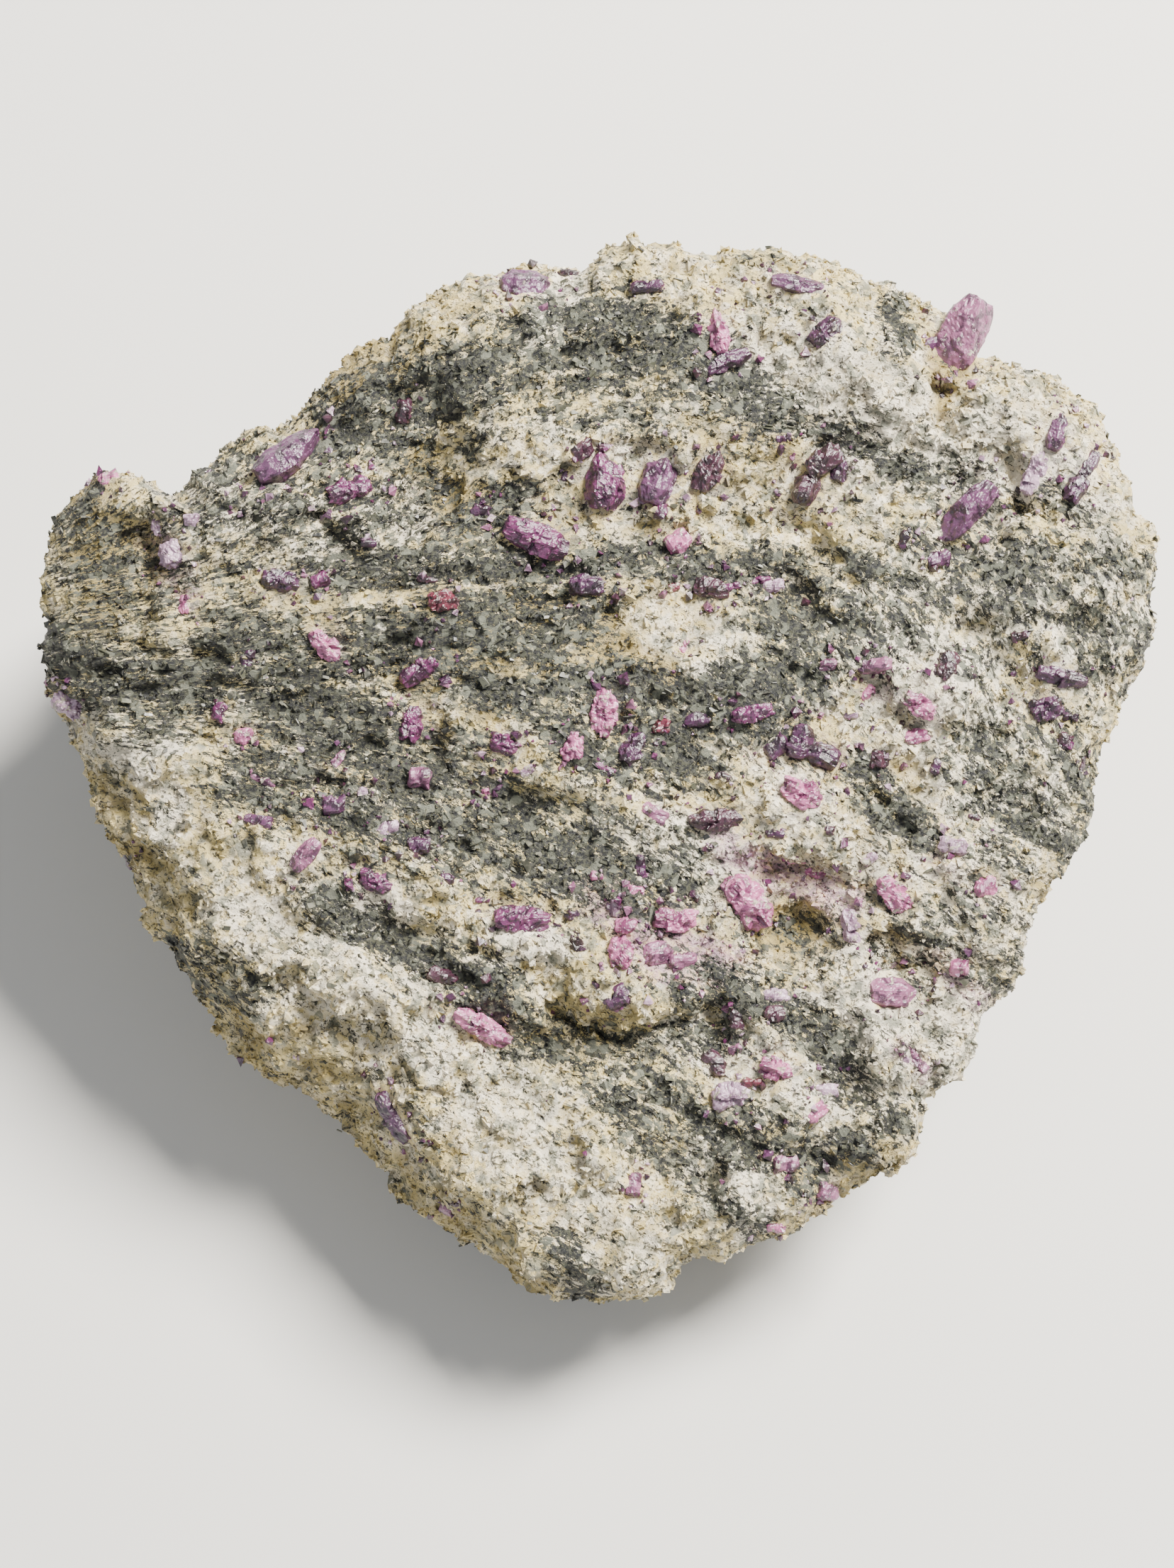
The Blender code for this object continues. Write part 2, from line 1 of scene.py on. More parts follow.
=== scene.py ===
"""Looks of a broken block of feldspar and mica rock with ruby crystals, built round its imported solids.

Lengths in the tables and in the working arrays are millimetres; a mesh is stored in metres.
The rich broken face has a frame of its own: u to the right, v up the face, w out of it.
Places on it are given as an eye square in front of it sees them, in millimetres at the face's plane.
"""
import itertools
import json
import math

import bpy
import numpy as np
from bpy.props import FloatProperty, FloatVectorProperty, IntProperty, PointerProperty
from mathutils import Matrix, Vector


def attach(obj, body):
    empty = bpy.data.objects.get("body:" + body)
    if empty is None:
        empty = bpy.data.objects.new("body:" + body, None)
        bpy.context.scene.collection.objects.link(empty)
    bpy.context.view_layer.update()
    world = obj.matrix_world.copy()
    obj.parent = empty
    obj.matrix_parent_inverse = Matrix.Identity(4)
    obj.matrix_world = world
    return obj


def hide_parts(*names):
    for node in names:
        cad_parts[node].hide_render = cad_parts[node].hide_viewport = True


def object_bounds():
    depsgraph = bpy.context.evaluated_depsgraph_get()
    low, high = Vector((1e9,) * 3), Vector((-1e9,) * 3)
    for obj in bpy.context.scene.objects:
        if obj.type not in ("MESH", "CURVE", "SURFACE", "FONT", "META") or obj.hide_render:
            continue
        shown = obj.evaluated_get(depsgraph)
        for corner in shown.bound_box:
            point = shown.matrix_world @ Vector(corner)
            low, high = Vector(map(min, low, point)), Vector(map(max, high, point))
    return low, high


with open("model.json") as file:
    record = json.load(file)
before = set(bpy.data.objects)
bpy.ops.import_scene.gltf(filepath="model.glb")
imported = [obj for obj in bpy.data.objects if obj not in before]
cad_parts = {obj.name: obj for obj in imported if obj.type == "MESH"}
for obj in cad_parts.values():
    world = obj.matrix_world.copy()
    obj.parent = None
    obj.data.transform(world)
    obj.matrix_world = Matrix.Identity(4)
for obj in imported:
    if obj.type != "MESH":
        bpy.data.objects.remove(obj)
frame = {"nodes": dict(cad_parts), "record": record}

bl_info = {
    "name": "Ruby crystals in feldspar and mica rock",
    "version": (1, 0, 0),
    "blender": (4, 5, 0),
    "location": "3D Viewport > Sidebar > Ruby rock",
    "description": "Finished rock, crystals and grains round the packed solids of a mineral specimen",
    "category": "Object",
}

MM = 0.001
# What the rock is made of, as attributes of its mesh: mica, iron stain, clean feldspar, ruby dust;
# then painted shade in low places
ZONES = ("dark", "warm", "pale", "pink", "hollow")
CAD_BOX = [list(corner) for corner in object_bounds()]
CRYSTAL_NODES = sorted(name for name in frame["nodes"] if name.startswith("ruby_crystal"))
SLOT_OF = {row["node"]: row["material_slot"] for row in frame["record"]["subparts"]}

# Shape of the block, with the values of the solids. The face leans to the front, and FACE_HEIGHT is how high
# its own origin lies. The eye is square in front of that origin.
FACE_LEAN = math.radians(18.0)
FACE_HEIGHT = 60.0
FACE_MIDDLE = (2.0, 5.0)
EYE_DISTANCE = 550.0
BOX_CENTRE = (1.796, 7.518)
# Rows down the walls: share of the way, and what part edge, waist and foot have in the outline there
WALL_ROWS = (
    (0.0, 1.0, 0.0, 0.0), (0.12, 0.72, 0.28, 0.0), (0.28, 0.32, 0.68, 0.0), (0.46, 0.05, 0.95, 0.0),
    (0.64, 0.0, 0.70, 0.30), (0.81, 0.0, 0.30, 0.70), (0.94, 0.0, 0.0, 1.0), (1.0, 0.0, 0.0, 0.87),
)
# Corners of the face's outline, as the eye sees it
OUTLINE = (
    (95.4, 16.1), (98.7, 21.1), (100.2, 27.6), (100.5, 34.0), (102.4, 39.1), (100.0, 45.8),
    (97.2, 49.2), (97.2, 52.6), (94.9, 55.2), (92.3, 62.8), (90.0, 66.8), (86.4, 68.9), (81.7, 72.8),
    (75.7, 74.5), (70.6, 76.6), (69.5, 80.5), (65.5, 85.0), (59.0, 87.2), (51.0, 88.9), (43.0, 92.2),
    (33.0, 95.0), (17.2, 95.2), (15.5, 96.9), (7.9, 97.0), (5.3, 95.4), (-1.0, 91.4), (-12.0, 92.5),
    (-20.1, 90.3), (-28.7, 86.9), (-35.9, 78.5), (-39.3, 77.4), (-46.0, 72.3), (-52.0, 65.1),
    (-60.0, 62.6), (-66.4, 56.7), (-74.0, 51.5), (-83.0, 55.2), (-87.2, 55.2), (-93.9, 47.5),
    (-96.1, 42.5), (-96.7, 37.4), (-96.1, 28.5), (-98.1, 23.0), (-95.9, 16.1), (-88.8, 1.9),
    (-83.3, -11.3), (-77.9, -24.5), (-72.4, -32.1), (-62.5, -47.5), (-57.0, -52.4), (-49.3, -55.7),
    (-42.8, -60.1), (-32.9, -72.7), (-20.8, -81.5), (-13.2, -87.0), (-10.1, -90.8), (-6.6, -93.2),
    (9.9, -93.0), (14.3, -88.0), (18.6, -84.2), (24.1, -84.2), (27.4, -81.5), (31.8, -81.3),
    (37.3, -79.3), (48.2, -71.6), (53.7, -69.4), (58.7, -65.6), (60.1, -60.6), (60.1, -56.2),
    (68.0, -49.7), (70.2, -41.4), (75.1, -36.5), (77.3, -32.1), (77.3, -26.1), (80.0, -21.2),
    (84.4, -15.7), (87.7, -10.2), (89.9, -3.6), (89.9, 3.0),
)
# By direction in degrees: how far the face falls at its edge, and over what width
EDGE_FALL = (
    (0, 5.0, 7.0), (60, 5.0, 8.0), (90, 6.0, 8.0), (150, 7.0, 9.0), (180, 9.0, 11.0), (200, 13.0, 13.0),
    (225, 16.0, 14.0), (245, 14.0, 12.0), (260, 8.0, 9.0), (300, 6.0, 8.0), (330, 5.0, 6.0),
)
# Corners of the walls' outline about halfway down, and of the underside
WAIST = (
    (97.0, 34.0), (80.0, 68.0), (48.0, 86.0), (6.0, 92.0), (-36.0, 72.0), (-83.0, 49.0), (-94.0, 30.0),
    (-86.0, 0.0), (-60.0, -42.0), (-26.0, -72.0), (2.0, -90.0), (43.0, -70.0), (68.0, -42.0), (87.0, -4.0),
)
FOOT = (
    (82.0, 22.0), (74.0, 52.0), (40.0, 76.0), (2.0, 74.0), (-48.0, 60.0), (-84.0, 30.0), (-76.0, -10.0),
    (-46.0, -50.0), (-2.0, -78.0), (40.0, -58.0), (66.0, -22.0),
)
# Lumps of the face, and hollows where the height is negative: centre, half sizes, turn, height
LUMPS = (
    ((-56, 50), (15, 8), 30, 2.6), ((-80, 7), (8, 6), 0, 2.4), ((-42, -36), (11, 7), -25, 4.0),
    ((-28, -46), (7, 8), 0, 3.0), ((-12, -29), (9, 4), 0, 2.4), ((-8, -66), (11, 7), 10, 2.8),
    ((5, -84), (10, 7), 0, 2.6), ((21, -79), (6, 5), 0, 3.0), ((26.3, -71), (3.6, 6.5), 10, 3.4),
    ((54, -47), (7, 7), 0, 3.2), ((46, -34), (4, 8), 0, 2.2), ((53, -64), (7, 6), 0, 2.4),
    ((4, -36), (9, 5), 15, 2.2), ((1, 9), (13, 12), 0, 2.2), ((17, 24), (9, 6), -15, 2.0),
    ((50, 71), (15, 8), 0, 2.4), ((62, 17), (10, 7), 0, 2.4), ((86, 32), (11, 13), 0, 2.0),
    ((-5, 60), (16, 6), 5, 2.0), ((20, 62), (9, 5), 0, 1.8), ((-64, 25), (10, 12), 0, 1.6),
    ((-26, 78), (12, 7), 20, 1.8), ((40, -4), (8, 7), 0, 2.0), ((28, -21), (7, 6), 0, 1.8),
    ((32, -56), (10, 6), 0, 2.0), ((-62, -12), (9, 9), 0, 1.8), ((84, 4), (7, 7), 0, 1.6),
    ((-27, 53), (10, 6), 62, -4.6), ((36, -27), (6.5, 6), 0, -4.0), ((55.5, -30), (6, 4), 0, -3.0),
    ((74, -5), (6, 6), 0, -3.0), ((27, 70), (5, 5), 0, -2.0), ((-7, -34), (3, 5), 10, -2.6),
    ((-18.5, -62), (4, 5), 0, -2.2), ((41, -69), (4, 5), 0, -2.0), ((66, 28), (6, 4), -20, -2.0),
    ((-66, -34), (6, 5), 0, -1.8), ((-2, -47), (12, 4), -5, -2.2), ((9, -60), (5, 9), 20, -1.6),
    ((-88, 37), (4, 5), 0, -1.6), ((92, 60), (4, 4), 0, -1.5), ((57, 2), (3.5, 3.5), 0, -1.6),
)
# Half width, depth, path
CRACKS = (
    (3.0, 2.4, ((-76.8, 48.0), (-76.5, 44.0), (-76.5, 36.0), (-78.5, 26.0))),
    (2.4, 4.0, ((64.0, 73.5), (62.8, 68.0), (62.2, 61.0))),
    (1.8, 2.6, ((74.5, 59.0), (76.5, 52.0), (77.5, 46.0))),
    (1.6, 2.6, ((-11.0, -38.0), (0.0, -43.0), (7.0, -45.0), (14.0, -42.0), (28.0, -39.5))),
    (1.4, 2.0, ((-23.0, -28.0), (-18.0, -30.0), (-13.0, -32.0), (-8.0, -31.5))),
    (1.5, 2.0, ((49.5, 1.0), (53.0, -4.0), (59.0, -10.0))),
    (1.4, 1.6, ((-56.0, -2.0), (-50.0, 0.4), (-42.0, 0.0))),
)
# Drop, length of the climb back, path
LEDGES = (
    (3.4, 24.0, ((-76.5, 49.0), (-76.5, 38.0), (-77.0, 22.0))),
    (4.5, 12.0, ((-52.0, -30.0), (-47.0, -38.0), (-41.0, -43.5), (-33.0, -43.5), (-33.0, -38.0))),
    (2.8, 14.0, ((-9.0, -37.0), (0.0, -42.0), (7.0, -43.5), (14.0, -41.0), (26.0, -38.5))),
    (2.4, 10.0, ((50.0, -32.0), (62.0, -31.0))),
    (2.2, 8.0, ((31.0, -22.0), (38.0, -21.0), (44.0, -24.0))),
)
# Least height of the walls over the floor, by the share of their way that is left
FOOT_RISE = 25.0
# Broken relief of the face and of the walls: size of its facets, height, seed, and how sharp its edges are
FACE_RELIEF = ((24.0, 2.2, 11), (12.0, 1.5, 12))
WALL_RELIEF = ((40.0, 5.0, 21), (18.0, 1.8, 22))
FACE_CORNERS = 18.0
WALL_CORNERS = 30.0

# Fine relief that the solids leave out: size of its facets, height, seed
FINE_RELIEF = ((7.5, 1.5, 31), (3.4, 0.8, 32), (1.9, 0.35, 33))
FINE_CORNERS = 26.0
# Fine facets of mica-rich rock: their width as a share of the blocky ones, how many widths they reach along
# the bedding, across it and inwards, and what is added to the seed
FLAKY_SHARE = 0.8
FLAKY_REACH = (2.2, 1.0, 1.6)
FLAKY_SEED = 100
# How much of the blocky relief pure mica loses, how high its own is, and how much of either the rock loses
# beside a crystal
MICA_CALM = 0.8
FLAKY_HEIGHT = 0.75
CRYSTAL_CALM = 0.7
# Places are bent by this much before their band is looked up: reach, size of the bends, sharpness, seeds
BEND_REACH = 3.0
BEND_SIZE = 11.0
BEND_CORNERS = 4.0
BEND_SEEDS = (41, 42)
# Mica beds that cross the walls: how far they are drawn out, size, seed, sharpness
WALL_BED_REACH = (2.5, 1.0, 2.5)
WALL_BED_SIZE = 12.0
WALL_BED_SEED = 43
WALL_BED_CORNERS = 5.0
# Share of the way down over which the face's bands give way to them, least and added share of mica, and the
# share of iron stain
WALL_FADE = (0.1, 0.5)
WALL_MICA = (0.25, 0.7)
WALL_STAIN = 0.75
# Bedding: fall to the right below, arch above with its crest at this u, and the v over which they change
BED_FALL = 0.45
BED_ARCH = 0.0035
BED_CREST = 15.0
BED_CHANGE = (-10.0, 50.0)
# The fine rock may pass the solids' box a little: from this far inside it, it loses this share of its way
BOX_MARGIN = 2.0
BOX_LOSS = 0.67
# Broken relief picks a cell's traits from a table of this many rows, by one large number for each axis
TRAIT_ROWS = 4096
CELL_NUMBERS = np.array((73856093, 19349663, 83492791))
# Share of the way down the walls where strewn grains stop and the fine relief begins to fade, least height
# of a grain over the floor, and seeds of the draws
DEEPEST = 0.93
GRAIN_LIFT = 0.02
SEEDS = {"rock_grains": 61, "mica_flakes": 62, "ruby_grains": 63, "ruby_crumbs": 64}
# Joined meshes that the broken grains are parted into, so that none grows too large
GRAIN_LAYERS = 2
# A mica flake's least and most length, width and thickness, in its sizes
FLAKE_SHAPE = ((0.8, 0.4, 0.10), (1.4, 0.8, 0.2))
# Ruby crumbs strewn round the crystals: how many, their middle size and their tints
CRUMB_COUNT = 1300
CRUMB_SIZE = 0.9
CRUMB_TINTS = ("purple", "plum", "mauve", "violet", "magenta", "lilac")

# Mica-rich bands that show dark: half width, strength, points along the middle
DARK_BANDS = (
    (6.0, 0.50, ((70, 6), (78, -4), (72, -14))),
    (7.0, 0.35, ((56, -26), (66, -22), (74, -30))),
    (4.0, 0.20, ((46, -50), (56, -58))),
    (5.0, 0.40, ((60, 56), (74, 50), (84, 46))),
    # The next two, on the knob and the upper left, are mica and also painted shade on the face's left end
    (9.0, 0.70, ((-90, 46), (-82, 36))),
    (11.0, 0.58, ((-66, 50), (-46, 46), (-34, 44))),
    (8.0, 0.85, ((-44, 64), (-34, 66), (-24, 70), (-12, 76), (0, 78), (10, 78), (18, 75))),
    (5.0, 0.9, ((18, 74), (27, 70), (34, 66))),
    (3.0, 0.8, ((34, 65), (46, 62), (54, 58), (62, 54))),
    (7.0, 0.6, ((-30, 52), (-24, 46), (-14, 48))),
    (11.0, 0.55, ((56, 36), (68, 38), (80, 36), (98, 33))),
    (8.0, 0.40, ((70, 25), (82, 26), (96, 24))),
    (4.0, 0.85, ((-46, 38), (-30, 39), (-16, 39), (-5, 38), (10, 40), (22, 39), (36, 39), (52, 38))),
    (4.0, 0.45, ((-20, 60), (-8, 66), (6, 66), (18, 64))),
    (6.0, 0.95, ((-98, 23), (-85, 19), (-68, 19))),
    (8.0, 0.70, ((-88, 22), (-76, 14))),
    (9.0, 0.85, ((-62, 24), (-50, 15), (-38, 8))),
    (8.0, 0.85, ((-40, 24), (-20, 27), (-4, 28))),
    (4.0, 0.95, ((-20, 16), (0, 17), (20, 18), (40, 18))),
    (8.0, 0.80, ((-45, 10), (-30, 2), (-18, -3))),
    (9.0, 0.80, ((0, 8), (12, 6), (20, 12), (32, 14))),
    (7.0, 0.80, ((34, 30), (44, 26), (54, 27))),
    (8.0, 0.80, ((-58, 2), (-45, -1), (-25, -8), (0, -12), (12, -18))),
    (4.5, 0.90, ((-46, -20), (-35, -28), (-25, -33), (-16, -38))),
    (2.8, 0.60, ((-16, -38), (-7, -43), (4, -47.5), (12, -46))),
    (4.0, 0.55, ((-12, -45), (2, -49), (15, -46), (28, -43))),
    (4.5, 0.72, ((18, -33), (32, -38), (42, -46), (48, -52))),
    (6.0, 0.55, ((4, -50), (12, -58), (20, -66))),
    (6.0, 0.75, ((20, -60), (34, -63))),
    (3.5, 0.55, ((2, -52), (10, -62), (22, -72), (30, -77))),
    (3.0, 0.90, ((49, 2), (53, -4), (60, -11))),
    (4.0, 0.80, ((55, 84), (56, 81))),
    (3.5, 0.70, ((-6, -82), (0, -90))),
    (5.0, 0.70, ((70, -2), (78, -8))),
    (5.0, 0.35, ((32, -27), (40, -28))),
    (4.0, 0.30, ((52, -30), (60, -31))),
    (5.0, 0.60, ((-72, -30), (-60, -36))),
    (3.5, 0.70, ((38, -70), (54, -62))),
    (5.0, 0.55, ((-90, 38), (-88, 30))),
    (6.0, 0.50, ((84, 10), (88, 2), (84, -8))),
)
# Iron-stained rock, ochre to olive brown
WARM_BANDS = (
    (7.0, 0.9, ((-88, 44), (-85, 34))),
    (5.0, 1.0, ((65, 75), (63.5, 66))),
    (6.0, 0.8, ((22, 62), (32, 59))),
    (5.0, 0.9, ((4, 23), (14, 20))),
    (6.0, 0.7, ((-12, 28), (0, 27))),
    (8.0, 0.7, ((-26, 24), (-8, 22))),
    (4.0, 0.8, ((57, 3), (58, 0))),
    (6.0, 0.7, ((-44, 72), (-34, 76))),
    (7.0, 0.6, ((-6, -82), (4, -84))),
    (9.0, 0.45, ((-86, -4), (-74, -30), (-54, -54), (-32, -74), (-12, -90))),
    (6.0, 0.8, ((-29, 55), (-24, 48))),
    (5.0, 0.7, ((34, -27), (40, -27))),
    (5.0, 0.8, ((52, -31), (60, -31))),
    (6.0, 0.6, ((40, 72), (58, 66))),
    (5.0, 0.6, ((-20, -62), (-14, -62))),
    (6.0, 0.5, ((50, -66), (42, -70))),
    (7.0, 0.5, ((72, -12), (80, -20))),
    (3.0, 0.4, ((-8, -45), (4, -49), (14, -46))),
)
# Rock bleached white, or lumps of clean pale feldspar
PALE_BANDS = (
    (5.0, 0.3, ((-16, 60), (0, 62), (14, 61), (30, 60))),
    (10.0, 1.0, ((34, 74), (48, 71), (56, 64), (70, 58))),
    (7.0, 0.6, ((-68, 50), (-50, 46), (-34, 48))),
    (5.0, 0.8, ((-86, 8), (-77, 5))),
    (5.0, 0.7, ((14, 26), (24, 23))),
    (8.0, 1.0, ((56, 22), (68, 16))),
    (6.0, 1.0, ((14, -11), (24, -17))),
    (4.0, 0.9, ((-16, -28), (-8, -29))),
    (9.0, 0.55, ((-56, -22), (-44, -34), (-28, -44))),
    (4.0, 1.0, ((-42, -20), (-34, -23))),
    (4.0, 1.0, ((-29, -46), (-27, -49))),
    (3.0, 1.0, ((-75, -2), (-74, -8))),
    (4.0, 1.0, ((-8, 82), (-3, 88))),
    (3.0, 1.0, ((43, 61), (52, 54))),
    (9.0, 0.6, ((-16, -54), (-6, -70), (4, -84))),
    (6.0, 0.9, ((24, -68), (28, -74))),
    (9.0, 1.0, ((48, -36), (58, -46), (66, -42))),
    (5.0, 0.7, ((84, 58), (92, 44))),
    (6.0, 0.6, ((36, -2), (44, -12), (50, -18))),
    (6.0, 0.6, ((16, -44), (30, -46), (44, -58))),
    (4.0, 0.7, ((74, 60), (78, 66))),
    (13.0, 0.6, ((60, 8), (72, -4), (66, -28), (52, -50))),
    (11.0, 0.5, ((60, 34), (76, 30), (94, 28))),
)
# Fine ruby that tints the feldspar pink
PINK_BANDS = (
    (6.0, 0.8, ((2, -18), (10, -28), (24, -32))),
    (5.0, 0.7, ((24, -12), (36, -16), (46, -22))),
    (4.0, 0.6, ((62, -29), (70, -36))),
    (5.0, 0.5, ((-58, 6), (-46, 2), (-34, -6))),
    (4.0, 0.6, ((-72, 34), (-76, 42))),
    (4.0, 0.5, ((30, 6), (44, 4))),
    (5.0, 0.5, ((60, -12), (72, -20))),
    (4.0, 0.5, ((40, 22), (56, 14))),
    (4.0, 0.4, ((-2, 12), (8, 4))),
    (3.0, 0.6, ((56, -46), (60, -52))),
    (4.0, 0.4, ((18, 36), (34, 37))),
)

# Ruby grains too small for nodes of their own: u, v, length, width, turn in degrees, tint
RUBY_GRAINS = (
    (-47.0, 36.2, 3.5, 3.0, 20, "magenta"), (-85.0, 54.0, 4.0, 3.0, 10, "pink"),
    (-32.5, 66.0, 5.0, 3.2, 80, "plum"), (-28.5, 36.3, 4.0, 1.4, 0, "plum"),
    (-71.7, 32.0, 3.0, 2.0, 90, "pink"), (-38.5, 43.3, 3.0, 1.5, 0, "purple"),
    (-4.0, 90.5, 5.0, 2.5, 0, "plum"), (11.0, 88.0, 6.0, 2.8, 5, "purple"),
    (-1.0, 58.8, 4.5, 3.6, 30, "plum"), (2.6, 59.8, 2.5, 2.0, 0, "plum"),
    (-3.6, 54.8, 2.5, 2.0, 60, "purple"), (13.0, 48.5, 3.0, 2.2, 80, "magenta"),
    (-18.5, 48.6, 4.0, 2.6, 0, "purple"), (15.5, 43.0, 4.8, 4.3, 30, "pink"),
    (26.0, 35.4, 4.0, 1.8, 10, "magenta"), (30.5, 36.0, 3.6, 1.6, 12, "magenta"),
    (15.0, 34.8, 3.0, 2.0, 0, "garnet"), (17.3, 24.6, 4.0, 2.2, 60, "pink"),
    (33.5, 35.0, 4.0, 3.0, 0, "lilac"), (61.5, 78.5, 4.0, 2.0, 20, "violet"),
    (34.8, 61.0, 4.0, 1.5, 0, "violet"), (45.0, 55.5, 4.0, 3.0, 70, "purple"),
    (62.5, 40.5, 5.0, 3.2, 20, "violet"), (56.5, 43.5, 3.0, 2.0, 60, "purple"),
    (-65.0, 12.8, 3.5, 2.8, 80, "magenta"), (-61.3, 8.3, 3.5, 3.3, 0, "pink"),
    (-60.5, 22.3, 4.0, 3.2, 90, "purple"), (-45.3, -3.6, 5.0, 3.5, 10, "violet"),
    (-58.5, -6.0, 5.0, 3.0, -15, "violet"), (-25.0, -16.8, 4.0, 2.0, 0, "purple"),
    (-81.5, -13.5, 4.0, 2.2, 85, "purple"), (-57.5, 1.0, 6.0, 2.2, -15, "mauve"),
    (-44.5, 4.5, 4.0, 2.0, 60, "mauve"), (-29.5, 1.0, 4.0, 3.6, 0, "mauve"),
    (-35.0, -8.0, 4.0, 2.8, 20, "lilac"), (-30.0, -11.0, 4.6, 3.8, 0, "purple"),
    (-18.0, -1.7, 3.5, 2.0, 20, "pink"), (3.3, 2.5, 5.0, 1.8, -30, "magenta"),
    (19.5, 11.3, 5.0, 3.4, 10, "purple"), (13.0, 10.0, 3.0, 2.8, 0, "garnet"),
    (33.3, 6.3, 4.5, 3.8, 40, "purple"), (11.8, -5.0, 4.5, 3.4, -35, "mauve"),
    (33.5, -9.0, 4.0, 2.5, 0, "purple"), (37.0, -13.0, 4.6, 3.6, -20, "pink"),
    (40.5, -15.4, 4.0, 2.8, -30, "pink"), (17.0, -31.2, 5.0, 3.0, 0, "mauve"),
    (5.8, -37.8, 4.8, 4.0, 30, "purple"), (-2.5, -23.2, 3.5, 2.5, 10, "purple"),
    (-2.0, -28.2, 3.5, 3.0, 90, "plum"), (5.0, -21.5, 4.0, 3.0, 80, "lilac"),
    (6.8, -25.2, 3.4, 2.8, 0, "pink"), (9.5, -15.0, 4.0, 2.0, 90, "purple"),
    (9.0, -18.5, 2.6, 2.2, 0, "pink"), (-18.5, -20.8, 2.5, 1.2, 0, "magenta"),
    (-25.5, -34.3, 6.0, 3.2, -15, "plum"), (2.0, -16.5, 2.4, 2.0, 0, "pink"),
    (51.3, 20.8, 5.2, 3.5, 10, "mauve"), (43.0, 21.4, 3.0, 2.8, 0, "mauve"),
    (49.5, 16.3, 3.0, 2.5, 40, "pink"), (58.3, 8.6, 5.0, 3.0, 10, "pink"),
    (85.0, 7.8, 3.0, 2.0, 90, "plum"), (85.7, 11.5, 2.4, 2.0, 0, "purple"),
    (88.0, 3.5, 3.0, 2.0, 90, "plum"), (52.0, 4.0, 4.0, 3.5, 80, "plum"),
    (71.0, -18.5, 4.6, 3.8, 20, "pink"), (65.0, -11.0, 4.8, 3.0, -20, "lilac"),
    (68.7, -5.8, 2.0, 1.6, 0, "plum"), (66.5, -32.5, 4.0, 3.4, 0, "pink"),
    (43.0, -8.3, 2.2, 1.6, 0, "plum"), (-25.0, -75.3, 3.0, 2.4, 0, "mauve"),
    (26.2, -41.5, 3.5, 2.8, 80, "plum"), (33.0, -41.0, 4.0, 3.0, 0, "plum"),
    (34.0, -37.6, 4.6, 2.6, 0, "lilac"), (22.8, -49.3, 5.0, 3.3, -50, "plum"),
    (26.3, -47.3, 3.0, 2.0, 0, "mauve"), (29.5, -53.0, 4.0, 1.6, 0, "garnet"),
    (42.3, -54.0, 4.0, 3.4, 0, "lilac"), (40.5, -58.0, 4.0, 3.3, 30, "pink"),
    (8.5, -70.5, 4.4, 3.4, 80, "mauve"), (33.2, -78.6, 4.4, 3.0, 0, "pink"),
    (35.5, -67.5, 4.6, 3.6, 0, "mauve"), (42.5, -72.6, 4.6, 3.6, -20, "mauve"),
    (57.6, -47.2, 4.0, 1.6, -60, "mauve"), (59.2, -49.5, 4.0, 2.2, -50, "mauve"),
    (-76.0, 45.5, 3.4, 2.6, 60, "lilac"), (-70.0, 47.0, 3.0, 2.2, 0, "lilac"),
    (62.0, 3.0, 3.0, 2.2, 60, "purple"), (46.5, 12.5, 3.0, 1.8, 0, "lilac"),
    (-10.5, 2.0, 2.6, 2.0, 30, "lilac"), (24.0, 1.0, 3.4, 1.8, -10, "plum"),
    (50.0, -13.5, 3.0, 2.4, 40, "lilac"), (77.0, 26.5, 3.0, 2.0, 10, "plum"),
)

# A finished crystal: its reach as a multiple of its solid's, the rings and sides of its grid, and how much a
# point of the grid keeps of its own reach and takes from those beside it and from those above and below
CRYSTAL_SPREAD = 1.1
CRYSTAL_GRID = (30, 48)
SOFTENING = (0.76, 0.12, 0.06)
# Its breaks, coarse and fine: size of the facets, share of the depth, seed, sharpness. Then its growth lines
CRYSTAL_BREAKS = ((2.1, 1.0, 51, 30.0), (0.9, 0.5, 52, 24.0))
GROWTH_LINE = 0.8
# A small ruby grain: rings and sides of its grid. Then its breaks: size, height, seed, sharpness
GRAIN_GRID = (13, 20)
GRAIN_BREAKS = (1.3, 0.50, 53, 30.0)
# Where the rock meets a crystal, in half widths over its middle: for a small one, how much lower for a large
# one, and the half lengths of the two
SMALL_LEVEL = 0.28
LARGE_DROP = 0.75
SMALL_TO_LARGE = (4.0, 6.5)
# Round a crystal, in its half sizes: how far the rock is measured, and over what distance the move fades, the
# rock stops being near it and its wider surroundings end
MEASURED = 1.3
MOVE_FADE = (1.0, 2.6)
NEAR_FADE = (0.9, 1.25)
HALO_FADE = (1.1, 2.2)
# Roughly out of the face, in the world
FACE_OUT = np.array((0.0, -0.31, 0.95))

# Each tint of ruby: its body, its frosted breaks, its dark heart, and its part of the cover of rock crumbs
RUBY_TINTS = {
    "magenta": ("#5f2650", "#ad7c9c", "#2c0e26", 0.42),
    "violet": ("#583252", "#a4829c", "#2b1427", 0.25),
    "purple": ("#43213f", "#86647a", "#1d0b19", 0.36),
    "plum": ("#3f2030", "#7d5e6e", "#1c0b13", 0.42),
    "pink": ("#ad6189", "#f2dbe7", "#6a2f52", 0.70),
    "lilac": ("#a98ba1", "#ebe0e6", "#71546a", 0.80),
    "mauve": ("#84506f", "#c6a6b8", "#46263c", 0.5),
    "garnet": ("#682a3a", "#a37077", "#2d1218", 0.7),
}
# Rock that sticks to ruby, light and dark, and dust on the mica
CRUST_TONES = ("#cdc2ae", "#6d6a5c")
MICA_DUST = "#8a8778"
CORUNDUM_IOR = 1.77
